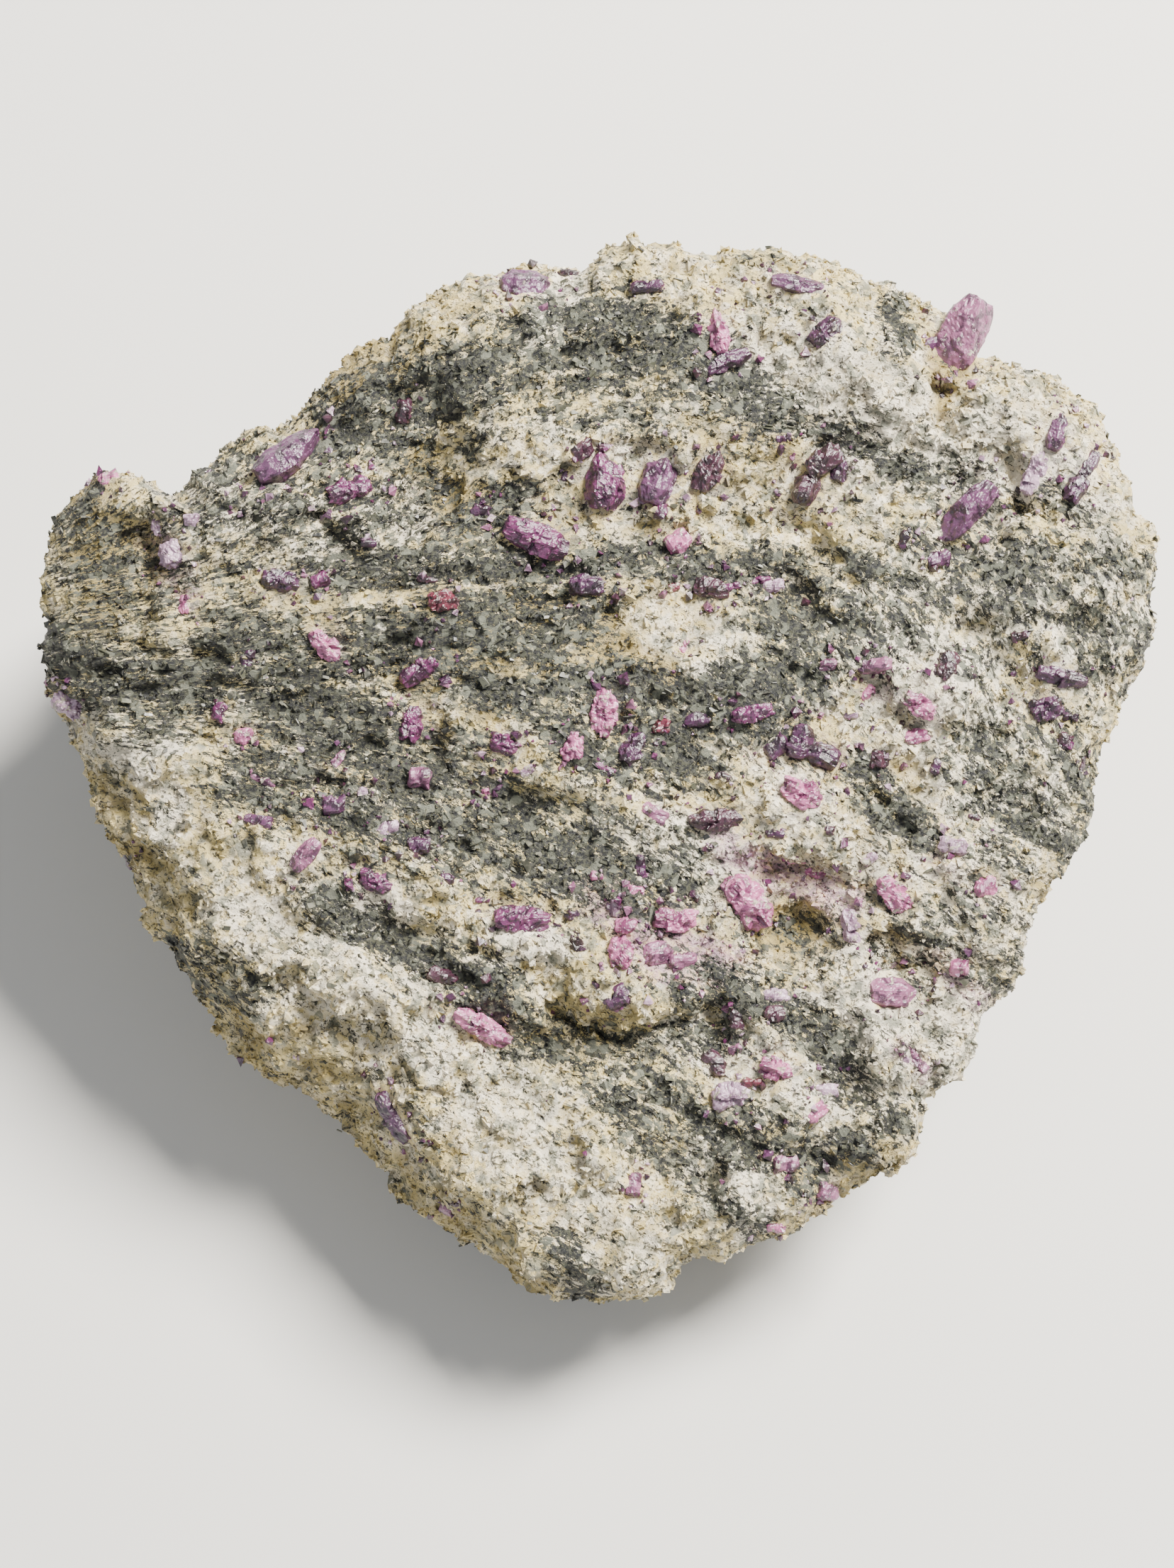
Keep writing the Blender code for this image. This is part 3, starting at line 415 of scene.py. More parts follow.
# Depth of the breaks on the crystals of each tint
RUBY_BREAKS = {
    "magenta": 0.60, "violet": 0.30, "purple": 0.55, "plum": 0.60, "pink": 0.75, "lilac": 0.65, "mauve": 0.30,
    "garnet": 0.60,
}

# Lights: place and size in metres, colour. Then what they point at, and the tint of the even light
KEY_LIGHT = ((0.68, 0.55, 1.12), 0.5, "#fffaf2")
FILL_LIGHT = ((-0.9, -0.9, 1.0), 1.2, "#f2f6ff")
LIGHT_TARGET = (0.0, 0.0, 0.05)
EVEN_TINT = "#eef0f2"
# Camera: the sensor's longer side, and half the height of the view in the plane of the face
SENSOR = 36.0
VIEW_HALF_HEIGHT = 139.1
# Half the side of the floor
FLOOR_REACH = 3000.0


def linear(code):
    """Linear colour with alpha from a six-digit sRGB code."""
    channels = [int(code[place:place + 2], 16) / 255.0 for place in (1, 3, 5)]
    return [c / 12.92 if c <= 0.04045 else ((c + 0.055) / 1.055) ** 2.4 for c in channels] + [1.0]


# Settings

def length_setting(name, description, default):
    """A length in metres that a user can change."""
    return FloatProperty(name=name, description=description, default=default, min=0.0, precision=5,
                         subtype="DISTANCE", unit="LENGTH")


def share_setting(name, description, default):
    """A share from 0 to 1 that a user can change."""
    return FloatProperty(name=name, description=description, default=default, min=0.0, max=1.0,
                         subtype="FACTOR")


def count_setting(name, description, default, low, high):
    """A whole number that a user can change."""
    return IntProperty(name=name, description=description, default=default, min=low, max=high)


def power_setting(name, description, default):
    """A light's power in watts that a user can change."""
    return FloatProperty(name=name, description=description, default=default, min=0.0, unit="POWER")


def colour_setting(name, description, code):
    """A colour that a user can change, from its sRGB code."""
    return FloatVectorProperty(name=name, description=description, default=linear(code)[:3], size=3, min=0.0,
                               max=1.0, subtype="COLOR")


class RockSettings(bpy.types.PropertyGroup):
    """Sizes and colours of the host rock."""
    face_cells: count_setting("Face cells", "Cells across the broken face", 214, 32, 220)
    wall_rows: count_setting("Wall rows", "Rows of cells down the walls", 38, 8, 44)
    relief: share_setting("Fine relief", "Share of the full height of the fine broken relief", 1.0)
    grain_count: count_setting("Grains", "Broken grains on the rock, in each layer", 24000, 0, 24900)
    grain_size: length_setting("Grain size", "Middle size of a broken grain", 0.0011)
    flake_count: count_setting("Mica flakes", "Dark flakes that stand out of the rock", 7000, 0, 15800)
    flake_size: length_setting("Flake size", "Middle length of a mica flake", 0.0008)
    cream: colour_setting("Cream feldspar", "Most of the feldspar", "#e2ce90")
    white: colour_setting("White feldspar", "Clean or freshly broken feldspar", "#f7edd6")
    grey: colour_setting("Grey quartz", "Quartz and shaded feldspar", "#7f8273")
    ochre: colour_setting("Ochre stain", "Iron stain in hollows and along cracks", "#a89356")
    olive: colour_setting("Olive mica", "Weathered mica between the grains", "#4f5041")
    black: colour_setting("Black mica", "Fresh dark mica", "#1b1d1f")
    pink: colour_setting("Pink dust", "Feldspar full of fine ruby", "#c493ae")


class RubySettings(bpy.types.PropertyGroup):
    """Finish of the ruby crystals."""
    roughness: share_setting("Roughness", "Roughness of a crystal's faces", 0.30)
    frost: share_setting("Frost", "Share of a crystal that is pale and splintered", 0.28)
    heart: share_setting("Dark heart", "Share of a crystal that is dark inside", 0.44)
    cover: share_setting("Cover", "Share of a crystal that grains of the rock still cover", 0.48)
    breaks: share_setting("Breaks", "Share of the full depth of the splintered breaks", 1.0)


class StageSettings(bpy.types.PropertyGroup):
    """Floor, light and camera."""
    floor: colour_setting("Floor", "Pale matt floor", "#d9d8d4")
    key_power: power_setting("Key light", "Power of the large soft light", 101.0)
    fill_power: power_setting("Fill light", "Power of the weak light from the front", 6.0)
    sky: FloatProperty(name="Room light", description="Strength of the even light from all round",
                       default=0.47, min=0.0)


# Shape of the block

def by_direction(table, angle, column):
    """A value of a table whose first column is a direction in degrees, straight between its rows."""
    rows = np.array(table, float)
    return np.interp(np.degrees(angle) % 360.0, rows[:, 0], rows[:, column], period=360.0)


def reach_to(angle, shape):
    """Distance from the face's middle to a straight-sided shape round it, in directions given in radians."""
    corners = np.array(shape) - FACE_MIDDLE
    corners = corners[np.argsort(np.arctan2(corners[:, 1], corners[:, 0]))]
    after = np.searchsorted(np.arctan2(corners[:, 1], corners[:, 0]), angle) % len(corners)
    x, y = corners[after - 1].T
    to_x, to_y = corners[after].T
    return (x * to_y - y * to_x) / (np.cos(angle) * (to_y - y) - np.sin(angle) * (to_x - x))


def even_reach(angle):
    """The outline without its small corners: the mean reach and its first four waves."""
    turn = np.linspace(-math.pi, math.pi, 360, endpoint=False)
    reach = reach_to(turn, OUTLINE)
    smooth = np.full_like(angle, reach.mean())
    for wave in range(1, 5):
        smooth += 2 * (reach * np.cos(wave * turn)).mean() * np.cos(wave * angle)
        smooth += 2 * (reach * np.sin(wave * turn)).mean() * np.sin(wave * angle)
    return smooth


def ramp(value, low, high):
    """Rises smoothly from 0 at low to 1 at high."""
    share = np.clip((value - low) / (high - low), 0.0, 1.0)
    return share * share * (3.0 - 2.0 * share)


def broken_relief(points, size, seed, corners):
    """Relief of broken rock, about -1 to 1, at points in space.

    Space is parted into uneven cells of about the given size.
    Each cell has a height and a slope of its own.
    A point takes those of its nearest cell, blended with the next ones in a narrow band between them.
    """
    traits_of = np.random.default_rng(seed).uniform(-1.0, 1.0, (TRAIT_ROWS, 7))
    scaled = points / size
    home = np.floor(scaled).astype(np.int64)
    total = np.zeros(len(points))
    weight = np.zeros(len(points))
    for step in itertools.product((-1, 0, 1), repeat=3):
        cell = home + step
        traits = traits_of[(cell @ CELL_NUMBERS) % TRAIT_ROWS]
        offset = scaled - cell - 0.5 - 0.4 * traits[:, :3]
        share = np.exp(-corners * (offset ** 2).sum(1))
        total += share * (0.5 * traits[:, 3] + 0.9 * (offset * traits[:, 4:]).sum(1))
        weight += share
    return total / weight


def from_path(u, v, path):
    """Distance to a path of straight runs, positive on its left, negative on its right, and the share along.
    """
    corners = np.array(path, float)
    lengths = np.hypot(*np.diff(corners, axis=0).T)
    before = np.concatenate([[0.0], np.cumsum(lengths)])
    nearest = np.full(u.shape, 1e9)
    signed = np.zeros(u.shape)
    along = np.zeros(u.shape)
    for start, end, length, travelled in zip(corners[:-1], corners[1:], lengths, before):
        way = (end - start) / length
        du = u - start[0]
        dv = v - start[1]
        share = np.clip(du * way[0] + dv * way[1], 0.0, length)
        distance = np.hypot(du - share * way[0], dv - share * way[1])
        side = np.where(way[0] * dv - way[1] * du >= 0.0, 1.0, -1.0)
        closer = distance < nearest
        nearest = np.where(closer, distance, nearest)
        signed = np.where(closer, side * distance, signed)
        along = np.where(closer, (travelled + share) / before[-1], along)
    return signed, along


def lump(u, v, centre, half_sizes, turn, height):
    """A mound with a broad top and steep flanks.

    Its height falls with e to the minus cube of the distance, counted in half sizes.
    """
    angle = math.radians(turn)
    du = u - centre[0]
    dv = v - centre[1]
    along = (du * math.cos(angle) + dv * math.sin(angle)) / half_sizes[0]
    across = (dv * math.cos(angle) - du * math.sin(angle)) / half_sizes[1]
    return height * np.exp(-((along ** 2 + across ** 2) ** 1.5))


def crack(u, v, half_width, depth, path):
    """A groove with a bell section that runs out at its ends."""
    signed, along = from_path(u, v, path)
    ends = ramp(along, 0.0, 0.15) * ramp(along, 1.0, 0.85)
    return -depth * ends * np.exp(-((signed / half_width) ** 2))


def ledge(u, v, drop, climb, path):
    """A step down on the right of a path, from which the ground climbs back; it fades at the path's ends."""
    signed, along = from_path(u, v, path)
    ends = ramp(along, 0.0, 0.12) * ramp(along, 1.0, 0.88)
    return -drop * ends * ramp(signed, 1.0, -1.5) * np.exp(-np.maximum(-signed, 0.0) / climb)


def face_height(u, v):
    """Height of the broken face over its own plane at places on it."""
    du = u - FACE_MIDDLE[0]
    dv = v - FACE_MIDDLE[1]
    angle = np.arctan2(dv, du)
    inside = reach_to(angle, OUTLINE) - np.hypot(du, dv)
    fall = np.clip(1.0 - inside / by_direction(EDGE_FALL, angle, 2), 0.0, 1.2)
    height = -by_direction(EDGE_FALL, angle, 1) * fall ** 2
    for traits in LUMPS:
        height += lump(u, v, *traits)
    for traits in CRACKS:
        height += crack(u, v, *traits)
    for traits in LEDGES:
        height += ledge(u, v, *traits)
    points = np.stack([u, v, np.zeros_like(u)], 1)
    for size, tall, seed in FACE_RELIEF:
        height += tall * broken_relief(points, size, seed, FACE_CORNERS)
    return height


def to_world(face_points):
    """Turns points of the face's frame into the world's, still in millimetres."""
    u, v, w = face_points.T
    y = v * math.cos(FACE_LEAN) - w * math.sin(FACE_LEAN)
    z = FACE_HEIGHT + v * math.sin(FACE_LEAN) + w * math.cos(FACE_LEAN)
    return np.stack([u - BOX_CENTRE[0], y - BOX_CENTRE[1], z], 1)


def to_face(points):
    """Turns points of the world into the face's frame, in millimetres."""
    x = points[:, 0] + BOX_CENTRE[0]
    y = points[:, 1] + BOX_CENTRE[1]
    z = points[:, 2] - FACE_HEIGHT
    v = y * math.cos(FACE_LEAN) + z * math.sin(FACE_LEAN)
    w = z * math.cos(FACE_LEAN) - y * math.sin(FACE_LEAN)
    return np.stack([x, v, w], 1)


def floor_level(v):
    """The w of the surface that the block rests on, straight under a place on the face."""
    return -(FACE_HEIGHT + v * math.sin(FACE_LEAN)) / math.cos(FACE_LEAN)


def disc_from_square(a, b):
    """Share of the reach and direction for places on a square: each ring of the square becomes a circle."""
    wide = np.abs(a) > np.abs(b)
    reach = np.where(wide, a, b)
    safe = np.where(reach == 0.0, 1.0, reach)
    angle = np.where(wide, math.pi / 4 * b / safe, math.pi / 2 - math.pi / 4 * a / safe)
    turned = np.where(reach < 0.0, angle + math.pi, angle)
    return np.abs(reach), np.arctan2(np.sin(turned), np.cos(turned))


def rock_points(a, b, depth):
    """Places of the rock's vertices in the face's frame, and the places on the face where an eye sees them.

    The face is a square turned into the outline's shape and raised by its height. A wall vertex lies its
    share of the way down, square to the face. Its reach there is a blend of edge, waist and foot, which
    runs straight between the wall rows.
    """
    share, angle = disc_from_square(a, b)
    blend = ramp(share, 0.55, 1.0)
    reach = share * (even_reach(angle) * (1.0 - blend) + reach_to(angle, OUTLINE) * blend)
    seen = np.stack([FACE_MIDDLE[0] + reach * np.cos(angle), FACE_MIDDLE[1] + reach * np.sin(angle)], 1)
    w = face_height(seen[:, 0], seen[:, 1])
    u, v = (seen * (1.0 - w / EYE_DISTANCE)[:, None]).T
    rows = np.array(WALL_ROWS)
    of_edge, of_waist, of_foot = (np.interp(depth, rows[:, 0], rows[:, column]) for column in (1, 2, 3))
    edge = np.hypot(u - FACE_MIDDLE[0], v - FACE_MIDDLE[1])
    wall = edge * of_edge + reach_to(angle, WAIST) * of_waist + reach_to(angle, FOOT) * of_foot
    guide = np.stack([wall * np.cos(angle), wall * np.sin(angle), w + depth * (floor_level(v) - w)], 1)
    for size, deep, seed in WALL_RELIEF:
        wall -= ramp(depth, 0.0, 0.3) * deep * broken_relief(guide, size, seed, WALL_CORNERS)
    below = floor_level(v)
    u = np.where(depth > 0.0, FACE_MIDDLE[0] + wall * np.cos(angle), u)
    v = np.where(depth > 0.0, FACE_MIDDLE[1] + wall * np.sin(angle), v)
    return np.stack([u, v, w + depth * (below - w)], 1), seen


def rock_grid(cells, rows):
    """Places on the square, depths, quads and triangles of the closed surface.

    It is a grid for the face, rows down the walls and a fan below.
    """
    side = np.linspace(-1.0, 1.0, cells + 1)
    b, a = (axis.ravel() for axis in np.meshgrid(side, side, indexing="ij"))
    index = np.arange((cells + 1) ** 2).reshape(cells + 1, cells + 1)
    face = np.stack([index[:-1, :-1], index[:-1, 1:], index[1:, 1:], index[1:, :-1]], -1).reshape(-1, 4)
    rim = np.concatenate([index[0, :-1], index[:-1, -1], index[-1, :0:-1], index[:0:-1, 0]])
    down = np.linspace(0.0, 1.0, rows + 1)[1:]
    rings = np.concatenate([rim[None], index.size + np.arange(rows * rim.size).reshape(rows, -1)])
    after = np.roll(rings, -1, axis=1)
    wall = np.stack([rings[:-1], rings[1:], after[1:], after[:-1]], -1).reshape(-1, 4)
    pole = index.size + rows * rim.size
    fan = np.stack([after[-1], rings[-1], np.full(rim.size, pole)], -1)
    a = np.concatenate([a, np.tile(a[rim], rows)])
    b = np.concatenate([b, np.tile(b[rim], rows)])
    depth = np.concatenate([np.zeros(index.size), np.repeat(down, rim.size)])
    return a, b, depth, np.concatenate([face, wall]), fan


def vertex_normals(points, quads):
    """Mean direction of the quads at each point, weighted by their sizes, and the area that each point has.
    """
    across = np.cross(points[quads[:, 2]] - points[quads[:, 0]], points[quads[:, 3]] - points[quads[:, 1]])
    normals = np.zeros_like(points)
    area = np.zeros(len(points))
    for corner in range(4):
        for axis in range(3):
            normals[:, axis] += np.bincount(quads[:, corner], across[:, axis], len(points))
        area += np.bincount(quads[:, corner], np.linalg.norm(across, axis=1) / 8.0, len(points))
    return unit(normals), area


def unit(vectors):
    """Vectors of length 1 in the same directions."""
    return vectors / np.maximum(np.linalg.norm(vectors, axis=-1, keepdims=True), 1e-9)


# What the rock is made of

def zone(seen, bands):
    """Share of a kind of rock at places on the face.

    It is a band's strength inside it and fades at its sides, and the most of all bands counts.
    """
    share = np.zeros(len(seen))
    for half_width, strength, path in bands:
        signed, _ = from_path(seen[:, 0], seen[:, 1], path)
        share = np.maximum(share, strength * (1.0 - ramp(np.abs(signed), 0.3 * half_width, 1.7 * half_width)))
    return share


def bedding(face_points):
    """Places in the rock's folded bedding: u, height over the bed, w.

    Low on the face the beds fall to the right in a straight line. High on it they arch, as a parabola.
    Between the two one shape gives way to the other.
    """
    u, v, w = face_points.T
    arched = ramp(v, *BED_CHANGE)
    rise = (1.0 - arched) * (-BED_FALL * u) + arched * (-BED_ARCH * (u - BED_CREST) ** 2)
    return np.stack([u, v - rise, w], 1)


def bed_directions(face_points):
    """Direction of the bedding on the face at each place: square to the slope of the height over the bed."""
    step = 0.5
    right = bedding(face_points + (step, 0.0, 0.0))[:, 1] - bedding(face_points)[:, 1]
    up = bedding(face_points + (0.0, step, 0.0))[:, 1] - bedding(face_points)[:, 1]
    return unit(np.stack([up, -right, np.zeros_like(up)], 1))


def grain_band(row):
    """The surroundings of a small ruby grain as a band: half width, strength, ends."""
    u, v, length, width, turn, _ = row
    run = 0.4 * length * np.array((math.cos(math.radians(turn)), math.sin(math.radians(turn))))
    return width, 0.8, ((u - run[0], v - run[1]), (u + run[0], v + run[1]))


class Crystal:
    """Place and size of a packed crystal, worked out from its triangles, in millimetres.

    Its centre is halfway from the middle of its box to the mean of its corners, and its axis is the direction
    in which its corners are spread most.
    """

    def __init__(self, name):
        mesh = frame["nodes"][name].data
        mesh.calc_loop_triangles()
        places = np.empty(len(mesh.vertices) * 3)
        mesh.vertices.foreach_get("co", places)
        corners = np.empty(len(mesh.loop_triangles) * 3, int)
        mesh.loop_triangles.foreach_get("vertices", corners)
        self.name = name
        self.triangles = places.reshape(-1, 3)[corners.reshape(-1, 3)] / MM
        points = np.unique(self.triangles.reshape(-1, 3).round(3), axis=0)
        self.centre = (points.max(0) + points.min(0)) / 2.0
        self.centre = 0.5 * self.centre + 0.5 * points.mean(0)
        offset = points - self.centre
        self.axis = np.linalg.eigh(offset.T @ offset)[1][:, -1]
        along = offset @ self.axis
        self.half_length = np.abs(along).max()
        self.half_width = np.linalg.norm(offset - along[:, None] * self.axis, axis=1).max()

    def distance(self, points):
        """Distance from the crystal, in half sizes with 1 mm to spare: 1 is just outside it."""
        offset = points - self.centre
        along = offset @ self.axis
        across = np.linalg.norm(offset - along[:, None] * self.axis, axis=1)
        return np.hypot(along / (self.half_length + 1.0), across / (self.half_width + 1.0))


def settle_round(world, normals, crystals):
    """Moves the rock's points so that each crystal stands out of it as far as it should.

    Near a crystal the surface moves along its mean normal until it meets the crystal: a little over the
    middle of a small one, and under the middle of a large one, which stands prouder. The move is whole
    within the crystal's half sizes and gone at 2.6 of them. Where crystals are close, moves are averaged.
    Returns the points, how near each is to a crystal from 0 to 1, and how far it is in a crystal's wider
    surroundings, also from 0 to 1.
    """
    moved = np.zeros_like(world)
    weights = np.zeros(len(world))
    near = np.zeros(len(world))
    halo = np.zeros(len(world))
    for crystal in crystals:
        distance = crystal.distance(world)
        under = distance < max(MEASURED, distance.min() + 0.3)
        normal = unit(normals[under].mean(0))
        level = SMALL_LEVEL - LARGE_DROP * ramp(crystal.half_length, *SMALL_TO_LARGE)
        gap = (crystal.centre + level * crystal.half_width * normal - world[under].mean(0)) @ normal
        weight = 1.0 - ramp(distance, *MOVE_FADE)
        moved += weight[:, None] * gap * normal
        weights += weight
        near = np.maximum(near, 1.0 - ramp(distance, *NEAR_FADE))
        halo = np.maximum(halo, 1.0 - ramp(distance, *HALO_FADE))
    return world + moved / np.maximum(weights, 1.0)[:, None], near, halo


def kept_near_box(points):
    """Points, with those near or past a side or the top of the solids' box drawn back to it.

    What a point passes the margin by is cut to a third.
    """
    low, high = np.array(CAD_BOX) / MM
    over = np.maximum(points - (high - BOX_MARGIN), 0.0)
    under = np.maximum(low + BOX_MARGIN - points, 0.0) * (1.0, 1.0, 0.0)
    return points - BOX_LOSS * over + BOX_LOSS * under


class Rock:
    """The fine surface of the host rock, with what it is made of and its painted shade in low places, at
    each of its points, in millimetres.

    Its fine relief is broken relief of three sizes along the normals. Feldspar breaks blocky, and mica by its
    share in facets drawn out along the beds.
    """

    def __init__(self, cells, rows, relief, crystals):
        a, b, depth, self.quads, self.fan = rock_grid(cells, rows)
        points, seen = rock_points(a, b, depth)
        self.depth = depth
        bends = np.stack([broken_relief(points, BEND_SIZE, seed, BEND_CORNERS) for seed in BEND_SEEDS], 1)
        outwards = points[:, :2] * (1.0 + 0.2 * depth[:, None])
        place = np.where(depth[:, None] > 0.0, outwards, seen) + BEND_REACH * bends
        beds = broken_relief(bedding(points) / WALL_BED_REACH, WALL_BED_SIZE, WALL_BED_SEED, WALL_BED_CORNERS)
        inside = 1.0 - ramp(depth, *WALL_FADE)
        least, added = WALL_MICA
        wall_dark = least + added * ramp(beds, -0.15, 0.3)
        self.dark = zone(place, DARK_BANDS) * inside + (1.0 - inside) * wall_dark
        wall_warm = WALL_STAIN * ramp(depth, 0.05, 0.5) * ramp(bends[:, 0], -0.2, 0.5)
        self.warm = np.maximum(zone(place, WARM_BANDS), wall_warm)
        self.pale = zone(place, PALE_BANDS) * inside
        pink = zone(place, PINK_BANDS)
        grains = zone(place, [grain_band(row) for row in RUBY_GRAINS])
        world = kept_near_box(to_world(points))
        normals, _ = vertex_normals(world, self.quads)
        world, self.near, halo = settle_round(world, normals, crystals)
        self.halo = np.maximum(halo, grains) * inside
        self.pink = np.maximum(pink, 0.4 * self.halo) * inside
        self.bed = bedding(to_face(world))
        drawn_out = self.bed / FLAKY_REACH
        rough = np.zeros(len(world))
        for size, tall, seed in FINE_RELIEF:
            blocky = broken_relief(world, size, seed, FINE_CORNERS)
            flaky = broken_relief(drawn_out, size * FLAKY_SHARE, seed + FLAKY_SEED, FINE_CORNERS)
            rough += tall * ((1.0 - MICA_CALM * self.dark) * blocky + FLAKY_HEIGHT * self.dark * flaky)
        normals, _ = vertex_normals(world, self.quads)
        free = relief * (1.0 - CRYSTAL_CALM * self.near) * (1.0 - ramp(depth, DEEPEST, 0.99))
        world = world + normals * (rough * free)[:, None]
        world[:, 2] = np.where(depth == 1.0, 0.0, np.maximum(world[:, 2], FOOT_RISE * (1.0 - depth)))
        middle = np.append(world[depth == 1.0].mean(0)[:2], 0.0)
        self.points = np.concatenate([world, middle[None]])
        self.normals, self.area = vertex_normals(self.points, self.quads)
        # Painted shade: how low the fine relief lies at each point, which darkens the colour there
        self.hollow = ramp(-rough, 0.1, 0.9)
        self.flow = self.on_surface(bed_directions(points))

    def on_surface(self, face_directions):
        """Directions of the face's frame laid into the rock's surface."""
        world = to_world(face_directions) - to_world(np.zeros((1, 3)))
        normals = self.normals[:len(world)]
        return unit(world - normals * (world * normals).sum(1)[:, None])


# Meshes

def store(name, points, faces, materials, smooth, attributes=None, slots=None):
    """Puts points in millimetres and faces into a new object at the origin, with its attributes by point."""
    mesh = bpy.data.meshes.new(name)
    mesh.from_pydata((points * MM).tolist(), [], faces)
    for material in materials:
        mesh.materials.append(material)
    mesh.polygons.foreach_set("use_smooth", np.full(len(mesh.polygons), smooth))
    if slots is not None:
        mesh.polygons.foreach_set("material_index", slots)
    for key, values in (attributes or {}).items():
        kind, field = {1: ("FLOAT", "value"), 2: ("FLOAT_VECTOR", "vector")}[values.ndim]
        layer = mesh.attributes.new(key, kind, "POINT")
        layer.data.foreach_set(field, values.astype(np.float32).ravel())
    mesh.validate()
    thing = bpy.data.objects.new(name, mesh)
    bpy.context.scene.collection.objects.link(thing)
    return thing


BLOCK_CORNERS = np.array(list(itertools.product((-0.5, 0.5), repeat=3)))
BLOCK_FACES = np.array((
    (0, 1, 3), (0, 3, 2), (4, 6, 7), (4, 7, 5), (0, 4, 5), (0, 5, 1),
    (2, 3, 7), (2, 7, 6), (0, 2, 6), (0, 6, 4), (1, 5, 7), (1, 7, 3),
))
GRAIN_CORNERS = np.array(((1, 0, 0), (-1, 0, 0), (0, 1, 0), (0, -1, 0), (0, 0, 1), (0, 0, -1)), float)
GRAIN_FACES = np.array((
    (0, 2, 4), (2, 1, 4), (1, 3, 4), (3, 0, 4), (2, 0, 5), (1, 2, 5), (3, 1, 5), (0, 3, 5),
))


def broken_grains(places, sizes, rng):
    """Points and triangles of small broken grains.

    Each is an octahedron with its corners about half its size from its middle, moved at random and turned any
    way.
    """
    corners = 0.55 * GRAIN_CORNERS * rng.uniform(0.7, 1.2, (len(places), 6, 1))
    corners = corners + rng.uniform(-0.16, 0.16, (len(places), 6, 3))
    along = unit(rng.normal(0.0, 1.0, (len(places), 3)))
    frames = frame_from(along, unit(rng.normal(0.0, 1.0, (len(places), 3))))
    points = places[:, None] + np.einsum("nci,nij->ncj", corners * sizes[:, None, None], frames)
    faces = GRAIN_FACES + 6 * np.arange(len(places))[:, None, None]
    return points.reshape(-1, 3), faces.reshape(-1, 3)


def blocks(places, frames, sizes, rng, uneven):
    """Points and triangles of small uneven blocks.

    Each is a cube whose corners are moved at random, stretched to its sizes, turned by its frame and moved to
    its place. Frames are arrays of three directions by block.
    """
    corners = BLOCK_CORNERS + uneven * rng.uniform(-1.0, 1.0, (len(places), 8, 3))
    points = places[:, None] + np.einsum("nci,nij->ncj", corners * sizes[:, None], frames)
    faces = BLOCK_FACES + 8 * np.arange(len(places))[:, None, None]
    return points.reshape(-1, 3), faces.reshape(-1, 3)


def uneven_sizes(middle, count, rng, spread, limits):
    """Sizes round a middle one: it times e to the power of a normal draw, within limits given as parts of it.
    """
    return middle * np.exp(rng.normal(0.0, spread, count)).clip(*limits)


def scattered(rock, weights, count, rng, spread, tilt):
    """Places and frames of grains strewn over the rock, more where the weights and the area are more.

    A grain's first direction keeps to the bedding within the spread, and its third stands off the surface,
    tilted at random by up to the tilt as a slope.
    """
    share = weights * rock.area[:len(weights)]
    chosen = rng.choice(len(weights), count, p=share / share.sum())
    normals = rock.normals[chosen]
    flow = rock.flow[chosen]
    side = np.cross(normals, flow)
    angle = rng.normal(0.0, spread, count)[:, None]
    along = flow * np.cos(angle) + side * np.sin(angle)
    shift = rng.uniform(-0.5, 0.5, (2, count, 1))
    places = rock.points[chosen] + shift[0] * flow + shift[1] * side
    up = unit(normals + tilt * rng.uniform(-1.0, 1.0, (count, 3)))
    along = unit(along - up * (along * up).sum(1)[:, None])
    return chosen, places, np.stack([along, np.cross(up, along), up], 1)


def sphere_grid(rings, sides):
    """Directions on a sphere by ring and side with a pole at each end, and the closed faces between them."""
    tilt = np.linspace(0.0, math.pi, rings + 2)[1:-1]
    turn = np.linspace(0.0, 2.0 * math.pi, sides, endpoint=False)
    tilt, turn = (axis.ravel() for axis in np.meshgrid(tilt, turn, indexing="ij"))
    body = np.stack([np.sin(tilt) * np.cos(turn), np.sin(tilt) * np.sin(turn), np.cos(tilt)], 1)
    index = np.arange(rings * sides).reshape(rings, sides)
    after = np.roll(index, -1, axis=1)
    quads = np.stack([index[:-1], index[1:], after[1:], after[:-1]], -1).reshape(-1, 4).tolist()
    north = rings * sides
    top = np.stack([np.full(sides, north), index[0], after[0]], -1).tolist()
    bottom = np.stack([np.full(sides, north + 1), after[-1], index[-1]], -1).tolist()
    return np.concatenate([body, ((0, 0, 1), (0, 0, -1))]), quads + top + bottom


def solid_reach(triangles, centre, directions):
    """Distance from a centre to the farthest of the triangles that lie in each direction."""
    first = triangles[:, 0] - centre
    edge_one = triangles[:, 1] - triangles[:, 0]
    edge_two = triangles[:, 2] - triangles[:, 0]
    normal = np.cross(edge_one, edge_two)
    slant = directions @ normal.T
    slant = np.where(np.abs(slant) < 1e-9, 1e-9, slant)
    one = np.einsum("dk,tk->dt", directions, np.cross(edge_two, first)) / slant
    two = np.einsum("dk,tk->dt", directions, np.cross(first, edge_one)) / slant
    away = (first * normal).sum(1) / slant
    hit = (one >= -1e-4) & (two >= -1e-4) & (one + two <= 1.0002) & (away > 0.0)
    reach = np.where(hit, away, 0.0).max(1)
    return np.where(reach > 0.0, reach, reach[reach > 0.0].mean())


def frame_from(axis, out):
    """Three directions as rows: two across the axis, the second towards out, and the axis."""
    side = unit(np.cross(out, axis))
    return np.stack([side, np.cross(axis, side), axis], -2)


